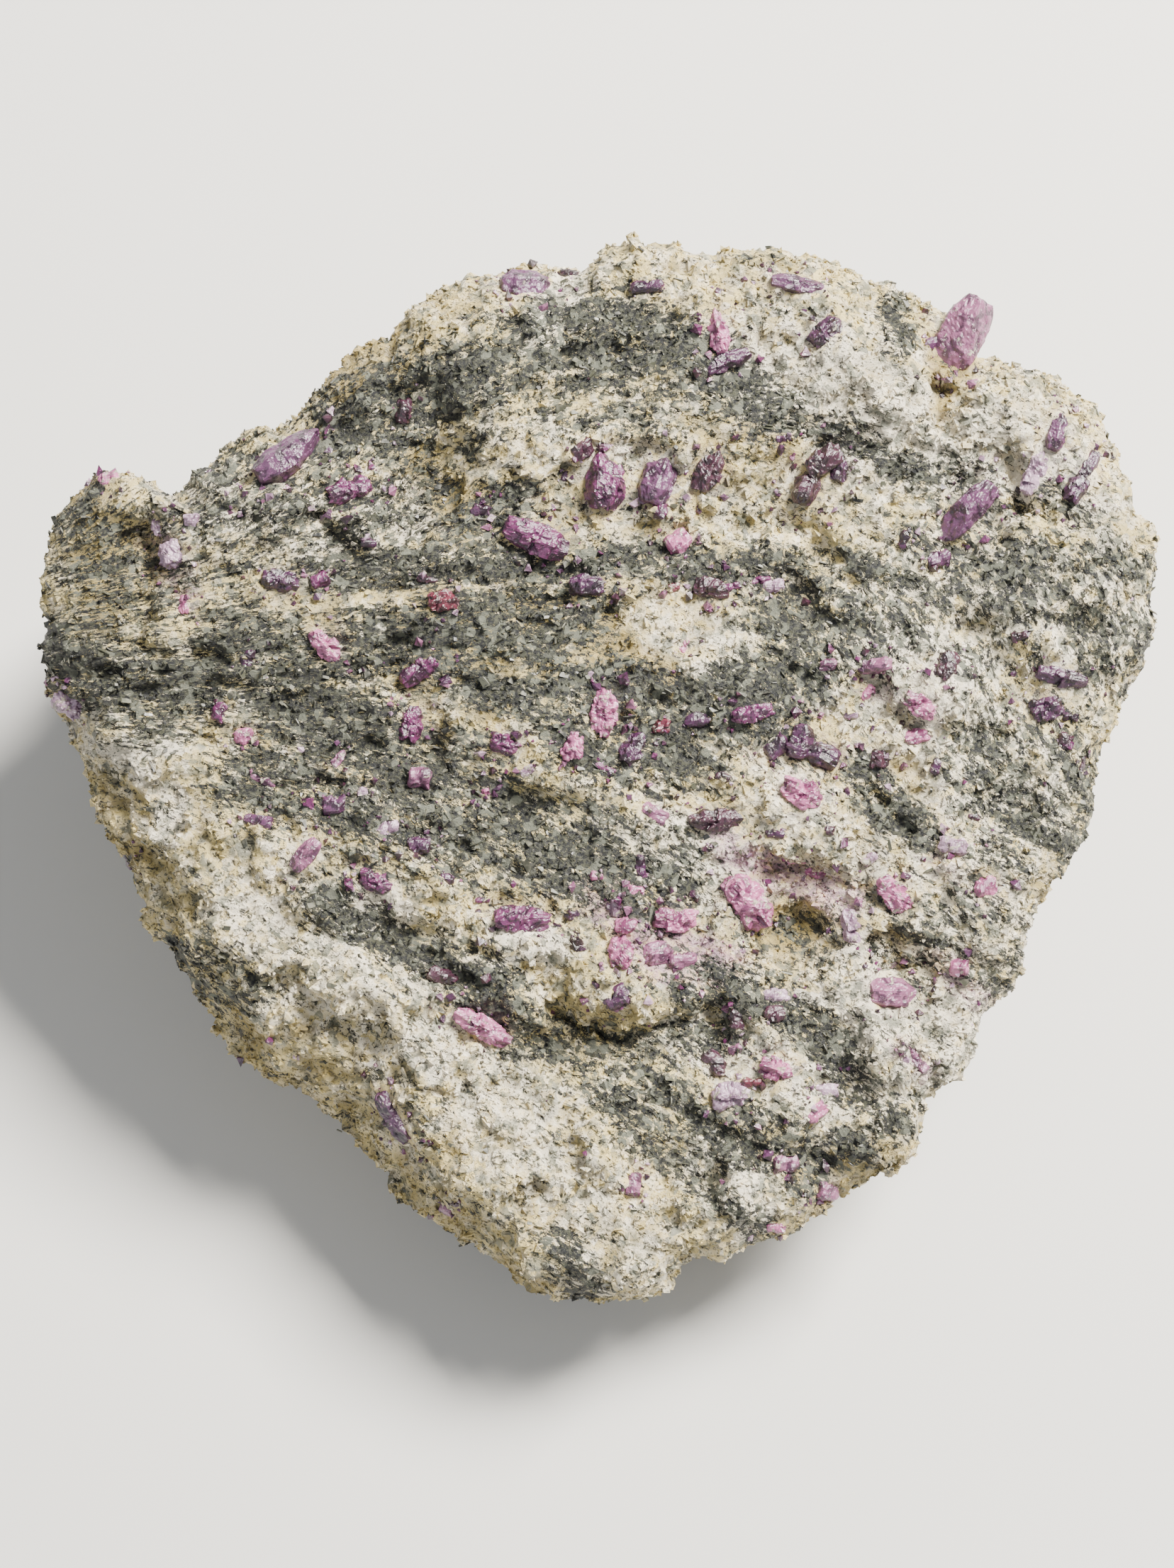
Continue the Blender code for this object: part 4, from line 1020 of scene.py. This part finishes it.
def crystal_points(crystal, depth, directions):
    """Points of a finished crystal: the reach of its solid, softened between neighbours, then broken.

    The breaks are broken relief of two sizes along the directions, and growth lines cross the axis: how far a
    place is from the middle between two of them.
    """
    turned = directions @ frame_from(crystal.axis, FACE_OUT)
    reach = solid_reach(crystal.triangles, crystal.centre, turned)
    ring = reach[:-2].reshape(CRYSTAL_GRID)
    across = (np.roll(ring, 1, 1) + np.roll(ring, -1, 1)) / 2.0
    padded = np.pad(ring, ((1, 1), (0, 0)), mode="edge")
    own, beside, above = SOFTENING
    ring = own * ring + beside * across + above * (padded[:-2] + padded[2:])
    reach = CRYSTAL_SPREAD * np.concatenate([ring.ravel(), reach[-2:]])
    points = crystal.centre + turned * reach[:, None]
    broken = sum(share * broken_relief(points, size, seed, sharp)
                 for size, share, seed, sharp in CRYSTAL_BREAKS)
    along = (points - crystal.centre) @ crystal.axis
    lines = np.abs((along / GROWTH_LINE) % 1.0 - 0.5) - 0.25
    return points + turned * (depth * broken - 0.1 * depth + 0.16 * depth * lines)[:, None]


def grains_on_rock(rock, table):
    """Middles of the small ruby grains on the rock, and their frames: across, out and along as rows.

    A grain lies at the rock's point that the eye sees nearest to its place, sunk by a fifth of its width.
    It lies along the rock, in its own direction, with its out leaning a little to the eye.
    """
    face = to_face(rock.points[:-1])[rock.depth == 0.0]
    seen = face[:, :2] / (1.0 - face[:, 2:] / EYE_DISTANCE)
    nearest = np.argmin(((seen[None] - table[:, None, :2]) ** 2).sum(2), axis=1)
    normals = unit(rock.normals[nearest] + 0.4 * FACE_OUT)
    turn = np.radians(table[:, 4])
    along = to_world(np.stack([np.cos(turn), np.sin(turn), 0.0 * turn], 1)) - to_world(np.zeros((1, 3)))
    along = unit(along - normals * (along * normals).sum(1)[:, None])
    return rock.points[nearest] - 0.20 * table[:, 3:4] * normals, frame_from(along, normals)


def soft_prisms(table, directions, rng):
    """Points of a six-sided prism with soft edges round the origin, one prism for each row of the table.

    Each of its eight planes gives the cosine between a direction and its own, over its distance. The reach in
    that direction is the sum of the fifth powers of these, to the power of minus a fifth.
    """
    angles = np.radians(60.0 * np.arange(6))
    walls = np.stack([np.cos(angles), np.sin(angles), 0.0 * angles], 1)
    planes = np.concatenate([walls, ((0, 0, 1), (0, 0, -1))])
    half_sizes = np.stack([0.5 * table[:, 3]] * 6 + [0.5 * table[:, 2]] * 2, 1)
    away = half_sizes * rng.uniform(0.8, 1.1, half_sizes.shape)
    facing = np.maximum(directions @ planes.T, 0.0)[None] / away[:, None]
    reach = (facing ** 5.0).sum(2) ** (-1.0 / 5.0)
    return directions[None] * reach[:, :, None]


# Materials

def new_material(name):
    """A new material: returns it, its tree, its shader and the place on the object, in metres."""
    material = bpy.data.materials.new(name)
    material.use_nodes = True
    tree = material.node_tree
    return material, tree, tree.nodes["Principled BSDF"], add(tree, "ShaderNodeTexCoord").outputs["Object"]


def fill(tree, node, inputs):
    """Fills a node's inputs with values, or links them to other sockets."""
    for key, value in inputs.items():
        if isinstance(value, bpy.types.NodeSocket):
            tree.links.new(value, node.inputs[key])
        else:
            node.inputs[key].default_value = value


def add(tree, kind, inputs=None, **settings):
    """Adds a node with its settings and fills its inputs."""
    node = tree.nodes.new(kind)
    for key, value in settings.items():
        setattr(node, key, value)
    fill(tree, node, inputs or {})
    return node


def laid_over(tree, base, tint, driver, low, high, most=1.0):
    """Lays a tint over a colour: none of it while the driver is under low, most of it from high on.

    Between the two its share rises smoothly. Returns the mixed colour and that share.
    """
    share = add(tree, "ShaderNodeMapRange", {
        "Value": driver, "From Min": low, "From Max": high, "To Max": most,
    }, interpolation_type="SMOOTHSTEP").outputs["Result"]
    mixed = add(tree, "ShaderNodeMix", {0: share, 6: base, 7: tint}, data_type="RGBA").outputs[2]
    return mixed, share


def rock_material(look):
    """Feldspar and mica rock, rough as it broke, made once.

    Feldspar in cells of 1.4 mm varies from cream to white and grey. Stain and ruby dust come in from their
    zones. Dark mica crosses it in ragged felted streaks that follow the bedding: fine noise passes a
    threshold that the share of mica moves. Low places are darkened with painted shade. Roughness differs
    from cell to cell, so that single grains glint.
    """
    if "feldspar_mica_rock" in bpy.data.materials:
        return bpy.data.materials["feldspar_mica_rock"]
    material, tree, shader, place = new_material("feldspar_mica_rock")
    cream, white, grey, ochre, olive, black, pink = (
        (*getattr(look, key), 1.0) for key in ("cream", "white", "grey", "ochre", "olive", "black", "pink"))
    dark, warm, pale, dust, hollow = (
        add(tree, "ShaderNodeAttribute", attribute_name=key).outputs["Fac"] for key in ZONES)
    bed = add(tree, "ShaderNodeAttribute", attribute_name="bed").outputs["Vector"]
    # Drawn out along the beds: streaks about 11 by 4 mm, and the felt of their edges about 1.8 by 1.2 mm
    streaked = add(tree, "ShaderNodeMapping", {"Vector": bed, "Scale": (0.4, 1.1, 0.9)}).outputs["Vector"]
    broad = add(tree, "ShaderNodeTexNoise", {
        "Vector": streaked, "Scale": 0.22, "Detail": 3.0, "Roughness": 0.6, "Distortion": 0.6,
    }).outputs["Fac"]
    felted = add(tree, "ShaderNodeMapping", {"Vector": bed, "Scale": (0.7, 1.05, 0.95)}).outputs["Vector"]
    felt = add(tree, "ShaderNodeTexNoise", {
        "Vector": felted, "Scale": 0.8, "Detail": 6.0, "Roughness": 0.8, "Distortion": 0.4,
    }).outputs["Fac"]
    # The same in all directions: grains of 0.7 mm, clouds of 7 mm, patches of 4 mm and cells of 1.4 mm
    fine = add(tree, "ShaderNodeTexNoise", {
        "Vector": place, "Scale": 1500.0, "Detail": 3.0, "Roughness": 0.6,
    }).outputs["Fac"]
    wide = add(tree, "ShaderNodeTexNoise", {
        "Vector": place, "Scale": 140.0, "Detail": 2.0, "Roughness": 0.5,
    }).outputs["Fac"]
    patch = add(tree, "ShaderNodeTexNoise", {
        "Vector": place, "Scale": 240.0, "Detail": 4.0, "Roughness": 0.65, "Distortion": 0.6,
    }).outputs["Color"]
    patches = add(tree, "ShaderNodeSeparateColor", {"Color": patch}).outputs
    cell = add(tree, "ShaderNodeTexVoronoi", {"Vector": place, "Scale": 700.0}).outputs["Color"]
    lot = add(tree, "ShaderNodeSeparateColor", {"Color": cell}).outputs
    # Feldspar, layer over layer
    cleaner = add(tree, "ShaderNodeMath", {0: pale, 1: 0.30, 2: patches["Red"]}, operation="MULTIPLY_ADD")
    whiter = add(tree, "ShaderNodeMath", {0: lot["Red"], 1: 0.35, 2: cleaner.outputs[0]},
                 operation="MULTIPLY_ADD")
    light, _ = laid_over(tree, cream, white, whiter.outputs[0], 0.55, 1.0)
    greyer = add(tree, "ShaderNodeMath", {0: lot["Green"], 1: 0.3, 2: patches["Green"]},
                 operation="MULTIPLY_ADD")
    light, _ = laid_over(tree, light, grey, greyer.outputs[0], 0.64, 0.86, 0.85)
    yellower = add(tree, "ShaderNodeMath", {0: patches["Blue"], 1: 0.6, 2: -0.3}, operation="MULTIPLY_ADD")
    patched = add(tree, "ShaderNodeMath", {0: yellower.outputs[0], 1: wide}, operation="ADD")
    bleached = add(tree, "ShaderNodeMath", {0: pale, 1: -0.3, 2: patched.outputs[0]},
                   operation="MULTIPLY_ADD")
    stained = add(tree, "ShaderNodeMath", {0: warm, 1: 0.5, 2: bleached.outputs[0]},
                  operation="MULTIPLY_ADD")
    light, _ = laid_over(tree, light, ochre, stained.outputs[0], 0.50, 0.95, 0.85)
    dusty = add(tree, "ShaderNodeMath", {0: dust, 1: 0.45, 2: felt}, operation="MULTIPLY_ADD")
    light, _ = laid_over(tree, light, pink, dusty.outputs[0], 0.66, 0.92, 0.8)
    light, _ = laid_over(tree, light, olive, fine, 0.57, 0.64, 0.9)
    # Mica, with worn olive places and grey flecks, and how it takes over from feldspar
    deep, _ = laid_over(tree, black, olive, fine, 0.40, 0.66)
    deep, _ = laid_over(tree, deep, grey, lot["Blue"], 0.76, 0.86, 0.65)
    swing = add(tree, "ShaderNodeMath", {0: broad, 1: 2.2, 2: -1.1}, operation="MULTIPLY_ADD")
    share = add(tree, "ShaderNodeMath", {0: dark, 1: swing.outputs[0]}, operation="ADD", use_clamp=True)
    lifted = add(tree, "ShaderNodeMath", {0: share.outputs[0], 1: 0.20, 2: felt}, operation="MULTIPLY_ADD")
    colour, _ = laid_over(tree, light, deep, lifted.outputs[0], 0.562, 0.605)
    # Painted shade: low places of the fine relief are multiplied towards olive
    painted_shade = add(tree, "ShaderNodeMath", {0: hollow, 1: 0.32}, operation="MULTIPLY")
    colour = add(tree, "ShaderNodeMix", {0: painted_shade.outputs[0], 6: colour, 7: olive}, data_type="RGBA",
                 blend_type="MULTIPLY").outputs[2]
    gloss = add(tree, "ShaderNodeMapRange", {"Value": lot["Blue"], "To Min": 0.25, "To Max": 0.85})
    chip = add(tree, "ShaderNodeMath", {0: lot["Green"], 1: 0.5, 2: felt}, operation="MULTIPLY_ADD")
    height = add(tree, "ShaderNodeMath", {0: fine, 1: 0.5, 2: chip.outputs[0]}, operation="MULTIPLY_ADD")
    bump = add(tree, "ShaderNodeBump", {"Height": height.outputs[0], "Strength": 0.9, "Distance": 0.0008})
    fill(tree, shader, {"Base Color": colour, "Roughness": gloss.outputs["Result"],
                        "Normal": bump.outputs["Normal"]})
    return material


def flake_material():
    """Mica in cleaved flakes, near black to olive grey, smooth enough to flash.

    Dust lies on it in clouds of 1.1 mm.
    """
    material, tree, shader, place = new_material("dark_mica")
    tint = add(tree, "ShaderNodeAttribute", attribute_name="tint").outputs["Vector"]
    cloud = add(tree, "ShaderNodeTexNoise", {"Vector": place, "Scale": 900.0, "Detail": 2.0}).outputs["Fac"]
    colour, _ = laid_over(tree, tint, linear(MICA_DUST), cloud, 0.4, 0.75, 0.5)
    gloss = add(tree, "ShaderNodeMapRange", {
        "Value": cloud, "From Min": 0.3, "From Max": 0.7, "To Min": 0.24, "To Max": 0.6,
    })
    fill(tree, shader, {"Base Color": colour, "Roughness": gloss.outputs["Result"]})
    return material


def ruby_material(tint, look):
    """Ruby, which is corundum, of one tint: grown with flat waxy faces, broken into pale frosted splinters.

    The dark heart is noise 2.4 mm wide and the frost noise 0.9 mm wide. Crust of the rock sticks to it in
    patches of about 1.8 mm, in cells of 1.1 mm with tones of their own. The breaks and the crust are raised.
    """
    material, tree, shader, place = new_material(tint + "_corundum")
    body, frost, heart = (linear(code) for code in RUBY_TINTS[tint][:3])
    heart_from = 0.74 - 0.6 * look.heart
    frost_from = 0.74 - 0.5 * look.frost
    crust_from = 0.70 - 0.38 * (look.cover * RUBY_TINTS[tint][3])
    deep = add(tree, "ShaderNodeTexNoise", {
        "Vector": place, "Scale": 420.0, "Detail": 3.0, "Distortion": 0.8,
    }).outputs["Fac"]
    fine = add(tree, "ShaderNodeTexNoise", {
        "Vector": place, "Scale": 1150.0, "Detail": 4.0, "Roughness": 0.7, "Distortion": 0.4,
    }).outputs["Fac"]
    crumbs = add(tree, "ShaderNodeTexNoise", {
        "Vector": place, "Scale": 560.0, "Detail": 5.0, "Roughness": 0.7,
    }).outputs["Fac"]
    cells = add(tree, "ShaderNodeTexVoronoi", {"Vector": place, "Scale": 900.0}).outputs
    colour, _ = laid_over(tree, body, heart, deep, heart_from, heart_from + 0.10, 0.95)
    colour, pale = laid_over(tree, colour, frost, fine, frost_from, frost_from + 0.08, 0.9)
    light, dark = (linear(code) for code in CRUST_TONES)
    crust = add(tree, "ShaderNodeMix", {0: cells["Color"], 6: light, 7: dark}, data_type="RGBA").outputs[2]
    colour, crusted = laid_over(tree, colour, crust, crumbs, crust_from, crust_from + 0.05)
    gloss = add(tree, "ShaderNodeMapRange", {"Value": pale, "To Min": look.roughness, "To Max": 0.7})
    raised = add(tree, "ShaderNodeMath", {0: crusted, 1: 0.5, 2: fine}, operation="MULTIPLY_ADD")
    height = add(tree, "ShaderNodeMath", {0: cells["Distance"], 1: 0.6, 2: raised.outputs[0]},
                 operation="MULTIPLY_ADD")
    bump = add(tree, "ShaderNodeBump", {"Height": height.outputs[0], "Strength": 0.6, "Distance": 0.0004})
    fill(tree, shader, {"Base Color": colour, "Roughness": gloss.outputs["Result"], "IOR": CORUNDUM_IOR,
                        "Normal": bump.outputs["Normal"]})
    return material


def ruby_materials(look):
    """The ruby materials by tint, made once."""
    made = bpy.data.materials
    return {tint: made.get(tint + "_corundum") or ruby_material(tint, look) for tint in RUBY_TINTS}


def floor_material(look):
    """Matt painted board with a faint cloud 170 mm wide, so that it doesn't look like paper."""
    material, tree, shader, place = new_material("pale_floor")
    cloud = add(tree, "ShaderNodeTexNoise", {"Vector": place, "Scale": 6.0, "Detail": 2.0}).outputs["Fac"]
    darker = tuple(0.93 * channel for channel in look.floor)
    colour = add(tree, "ShaderNodeMix", {0: cloud, 6: (*look.floor, 1.0), 7: (*darker, 1.0)},
                 data_type="RGBA")
    fill(tree, shader, {"Base Color": colour.outputs[2], "Roughness": 0.8})
    return material


# Operators

WORKED_OUT = {}


def rock_and_crystals(context):
    """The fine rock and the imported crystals, worked out once for the operators that need them."""
    if not WORKED_OUT:
        look = context.scene.ruby_rock
        crystals = [Crystal(name) for name in CRYSTAL_NODES]
        WORKED_OUT["crystals"] = crystals
        WORKED_OUT["rock"] = Rock(look.face_cells, look.wall_rows, look.relief, crystals)
    return WORKED_OUT["rock"], WORKED_OUT["crystals"]


class RUBYROCK_OT_matrix_rock(bpy.types.Operator):
    """Makes the fine surface of the host rock"""
    bl_idname = "ruby_rock.matrix_rock"
    bl_label = "Host rock"

    def execute(self, context):
        rock, _ = rock_and_crystals(context)
        end = rock.points[-1:]
        traits = {key: np.append(getattr(rock, key), 0.0) for key in ZONES}
        traits["bed"] = np.concatenate([rock.bed, bedding(to_face(end))])
        faces = rock.quads.tolist() + rock.fan.tolist()
        piece = store("rock", rock.points, faces, [rock_material(context.scene.ruby_rock)], True, traits)
        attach(piece, "root")
        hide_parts("matrix_rock")
        return {"FINISHED"}


class RUBYROCK_OT_rock_grains(bpy.types.Operator):
    """Strews broken grains over the rock in two layers"""
    bl_idname = "ruby_rock.rock_grains"
    bl_label = "Broken grains"

    def execute(self, context):
        look = context.scene.ruby_rock
        rock, _ = rock_and_crystals(context)
        weights = (1.0 - rock.near) * (rock.depth < DEEPEST)
        for layer in range(GRAIN_LAYERS):
            rng = np.random.default_rng(SEEDS["rock_grains"] + layer)
            chosen, places, frames = scattered(rock, weights, look.grain_count, rng, spread=0.9, tilt=0.5)
            middle = look.grain_size / MM
            size = uneven_sizes(middle, look.grain_count, rng, spread=0.42, limits=(0.4, 2.4))
            size *= 1.0 - 0.3 * rock.dark[chosen]
            points, faces = broken_grains(places - 0.20 * size[:, None] * frames[:, 2], size, rng)
            points[:, 2] = points[:, 2].clip(GRAIN_LIFT, None)
            traits = {key: np.repeat(getattr(rock, key)[chosen], len(GRAIN_CORNERS)) for key in ZONES}
            traits["bed"] = bedding(to_face(points))
            name = f"rock_grains_{layer + 1}"
            piece = store(name, points, faces.tolist(), [rock_material(look)], False, traits)
            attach(piece, "root")
        return {"FINISHED"}


class RUBYROCK_OT_mica_flakes(bpy.types.Operator):
    """Strews dark mica flakes along the bedding"""
    bl_idname = "ruby_rock.mica_flakes"
    bl_label = "Mica flakes"

    def execute(self, context):
        look = context.scene.ruby_rock
        rock, _ = rock_and_crystals(context)
        rng = np.random.default_rng(SEEDS["mica_flakes"])
        weights = (0.10 + rock.dark ** 1.5) * (1.0 - rock.near) * (rock.depth < DEEPEST)
        chosen, places, frames = scattered(rock, weights, look.flake_count, rng, spread=0.5, tilt=0.9)
        middle = look.flake_size / MM
        size = uneven_sizes(middle, look.flake_count, rng, spread=0.35, limits=(0.5, 2.0))
        sizes = size[:, None] * rng.uniform(*FLAKE_SHAPE, (look.flake_count, 3))
        points, faces = blocks(places, frames, sizes, rng, uneven=0.18)
        points[:, 2] = points[:, 2].clip(GRAIN_LIFT, None)
        lot = rng.uniform(0.0, 1.0, (look.flake_count, 1))
        colour = np.array(look.black) * (1.0 - lot) + np.array(look.olive) * lot
        tints = {"tint": np.repeat(colour, len(BLOCK_CORNERS), axis=0)}
        piece = store("mica_flakes", points, faces.tolist(), [flake_material()], False, tints)
        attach(piece, "root")
        return {"FINISHED"}


class RUBYROCK_OT_ruby_crystals(bpy.types.Operator):
    """Makes the larger ruby crystals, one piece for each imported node"""
    bl_idname = "ruby_rock.ruby_crystals"
    bl_label = "Ruby crystals"

    def execute(self, context):
        look = context.scene.ruby_crystals
        _, crystals = rock_and_crystals(context)
        materials = ruby_materials(look)
        directions, faces = sphere_grid(*CRYSTAL_GRID)
        for crystal in crystals:
            tint = SLOT_OF[crystal.name].removeprefix("ruby_")
            depth = look.breaks * RUBY_BREAKS[tint]
            points = crystal_points(crystal, depth, directions)
            name = crystal.name.replace("crystal", "finished")
            piece = store(name, points, faces, [materials[tint]], False)
            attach(piece, "root")
            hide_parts(crystal.name)
        return {"FINISHED"}


class RUBYROCK_OT_ruby_grains(bpy.types.Operator):
    """Makes the small ruby grains as one joined piece"""
    bl_idname = "ruby_rock.ruby_grains"
    bl_label = "Ruby grains"

    def execute(self, context):
        look = context.scene.ruby_crystals
        rock, _ = rock_and_crystals(context)
        rng = np.random.default_rng(SEEDS["ruby_grains"])
        table = np.array([row[:5] for row in RUBY_GRAINS])
        middles, frames = grains_on_rock(rock, table)
        directions, faces = sphere_grid(*GRAIN_GRID)
        local = soft_prisms(table, directions, rng)
        points = (middles[:, None] + np.einsum("nci,nij->ncj", local, frames)).reshape(-1, 3)
        size, tall, seed, sharp = GRAIN_BREAKS
        outwards = unit(points - np.repeat(middles, len(directions), 0))
        points += tall * broken_relief(points, size, seed, sharp)[:, None] * outwards
        tints = list(RUBY_TINTS)
        slots = np.repeat([tints.index(row[5]) for row in RUBY_GRAINS], len(faces))
        offsets = np.arange(len(table)) * len(directions)
        joined = [[corner + offset for corner in corners] for offset in offsets.tolist() for corners in faces]
        piece = store("ruby_grains", points, joined, list(ruby_materials(look).values()), False, None, slots)
        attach(piece, "root")
        return {"FINISHED"}


class RUBYROCK_OT_ruby_crumbs(bpy.types.Operator):
    """Strews tiny ruby crumbs round the crystals and through the pink rock"""
    bl_idname = "ruby_rock.ruby_crumbs"
    bl_label = "Ruby crumbs"

    def execute(self, context):
        rubies = ruby_materials(context.scene.ruby_crystals)
        rock, _ = rock_and_crystals(context)
        rng = np.random.default_rng(SEEDS["ruby_crumbs"])
        weights = (rock.halo + 0.4 * rock.pink + 0.006) * (1.0 - rock.near) * (rock.depth == 0.0)
        _, places, frames = scattered(rock, weights, CRUMB_COUNT, rng, spread=1.0, tilt=0.5)
        size = uneven_sizes(CRUMB_SIZE, CRUMB_COUNT, rng, spread=0.45, limits=(0.4, 2.6))
        points, faces = broken_grains(places + 0.05 * size[:, None] * frames[:, 2], size, rng)
        slots = np.repeat(rng.choice(len(CRUMB_TINTS), CRUMB_COUNT), len(GRAIN_FACES))
        finishes = [rubies[tint] for tint in CRUMB_TINTS]
        piece = store("ruby_crumbs", points, faces.tolist(), finishes, False, None, slots)
        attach(piece, "root")
        return {"FINISHED"}


def area_light(name, traits, power):
    """A large square light at its place, turned to the block."""
    place, size, colour = traits
    data = bpy.data.lights.new(name, "AREA")
    data.shape = "SQUARE"
    data.size = size
    data.energy = power
    data.color = linear(colour)[:3]
    lamp = bpy.data.objects.new(name, data)
    lamp.location = place
    lamp.rotation_euler = (Vector(LIGHT_TARGET) - lamp.location).to_track_quat("-Z", "Y").to_euler()
    bpy.context.scene.collection.objects.link(lamp)


class RUBYROCK_OT_stage(bpy.types.Operator):
    """Lays the pale floor and sets the lights and the camera"""
    bl_idname = "ruby_rock.stage"
    bl_label = "Floor, light and camera"

    def execute(self, context):
        look = context.scene.ruby_stage
        corners = FLOOR_REACH * np.array(((-1, -1, 0), (1, -1, 0), (1, 1, 0), (-1, 1, 0)), float)
        store("floor", corners, [(0, 1, 2, 3)], [floor_material(look)], False)
        area_light("key", KEY_LIGHT, look.key_power)
        area_light("fill", FILL_LIGHT, look.fill_power)
        world = bpy.data.worlds.new("room")
        world.use_nodes = True
        background = world.node_tree.nodes["Background"]
        fill(world.node_tree, background, {"Color": linear(EVEN_TINT), "Strength": look.sky})
        context.scene.world = world
        camera = bpy.data.objects.new("camera", bpy.data.cameras.new("camera"))
        camera.data.sensor_width = SENSOR
        camera.data.lens = SENSOR / 2.0 * EYE_DISTANCE / VIEW_HALF_HEIGHT
        camera.location = to_world(np.array([[0.0, 0.0, EYE_DISTANCE]]))[0] * MM
        camera.rotation_euler = (FACE_LEAN, 0.0, 0.0)
        context.scene.collection.objects.link(camera)
        context.scene.camera = camera
        return {"FINISHED"}


class RUBYROCK_PT_panel(bpy.types.Panel):
    """Panel with the settings and the steps in order"""
    bl_idname = "RUBYROCK_PT_panel"
    bl_label = "Ruby rock"
    bl_space_type = "VIEW_3D"
    bl_region_type = "UI"
    bl_category = "Ruby rock"

    def draw(self, context):
        for owner in ("ruby_rock", "ruby_crystals", "ruby_stage"):
            settings = getattr(context.scene, owner)
            column = self.layout.column(align=True)
            for key in settings.__annotations__:
                column.prop(settings, key)
        for step in STEPS:
            self.layout.operator(step.bl_idname)


STEPS = (
    RUBYROCK_OT_matrix_rock, RUBYROCK_OT_rock_grains, RUBYROCK_OT_mica_flakes, RUBYROCK_OT_ruby_crystals,
    RUBYROCK_OT_ruby_grains, RUBYROCK_OT_ruby_crumbs, RUBYROCK_OT_stage,
)
CLASSES = (RockSettings, RubySettings, StageSettings, *STEPS, RUBYROCK_PT_panel)


def register():
    """Registers the classes and hangs the settings on the scene."""
    for kind in CLASSES:
        bpy.utils.register_class(kind)
    bpy.types.Scene.ruby_rock = PointerProperty(type=RockSettings)
    bpy.types.Scene.ruby_crystals = PointerProperty(type=RubySettings)
    bpy.types.Scene.ruby_stage = PointerProperty(type=StageSettings)


def unregister():
    """Takes the settings and the classes away again."""
    del bpy.types.Scene.ruby_stage
    del bpy.types.Scene.ruby_crystals
    del bpy.types.Scene.ruby_rock
    for kind in reversed(CLASSES):
        bpy.utils.unregister_class(kind)


def main():
    """Runs every step in order."""
    register()
    for step in STEPS:
        group, action = step.bl_idname.split(".")
        getattr(getattr(bpy.ops, group), action)()


if __name__ == "__main__":
    main()
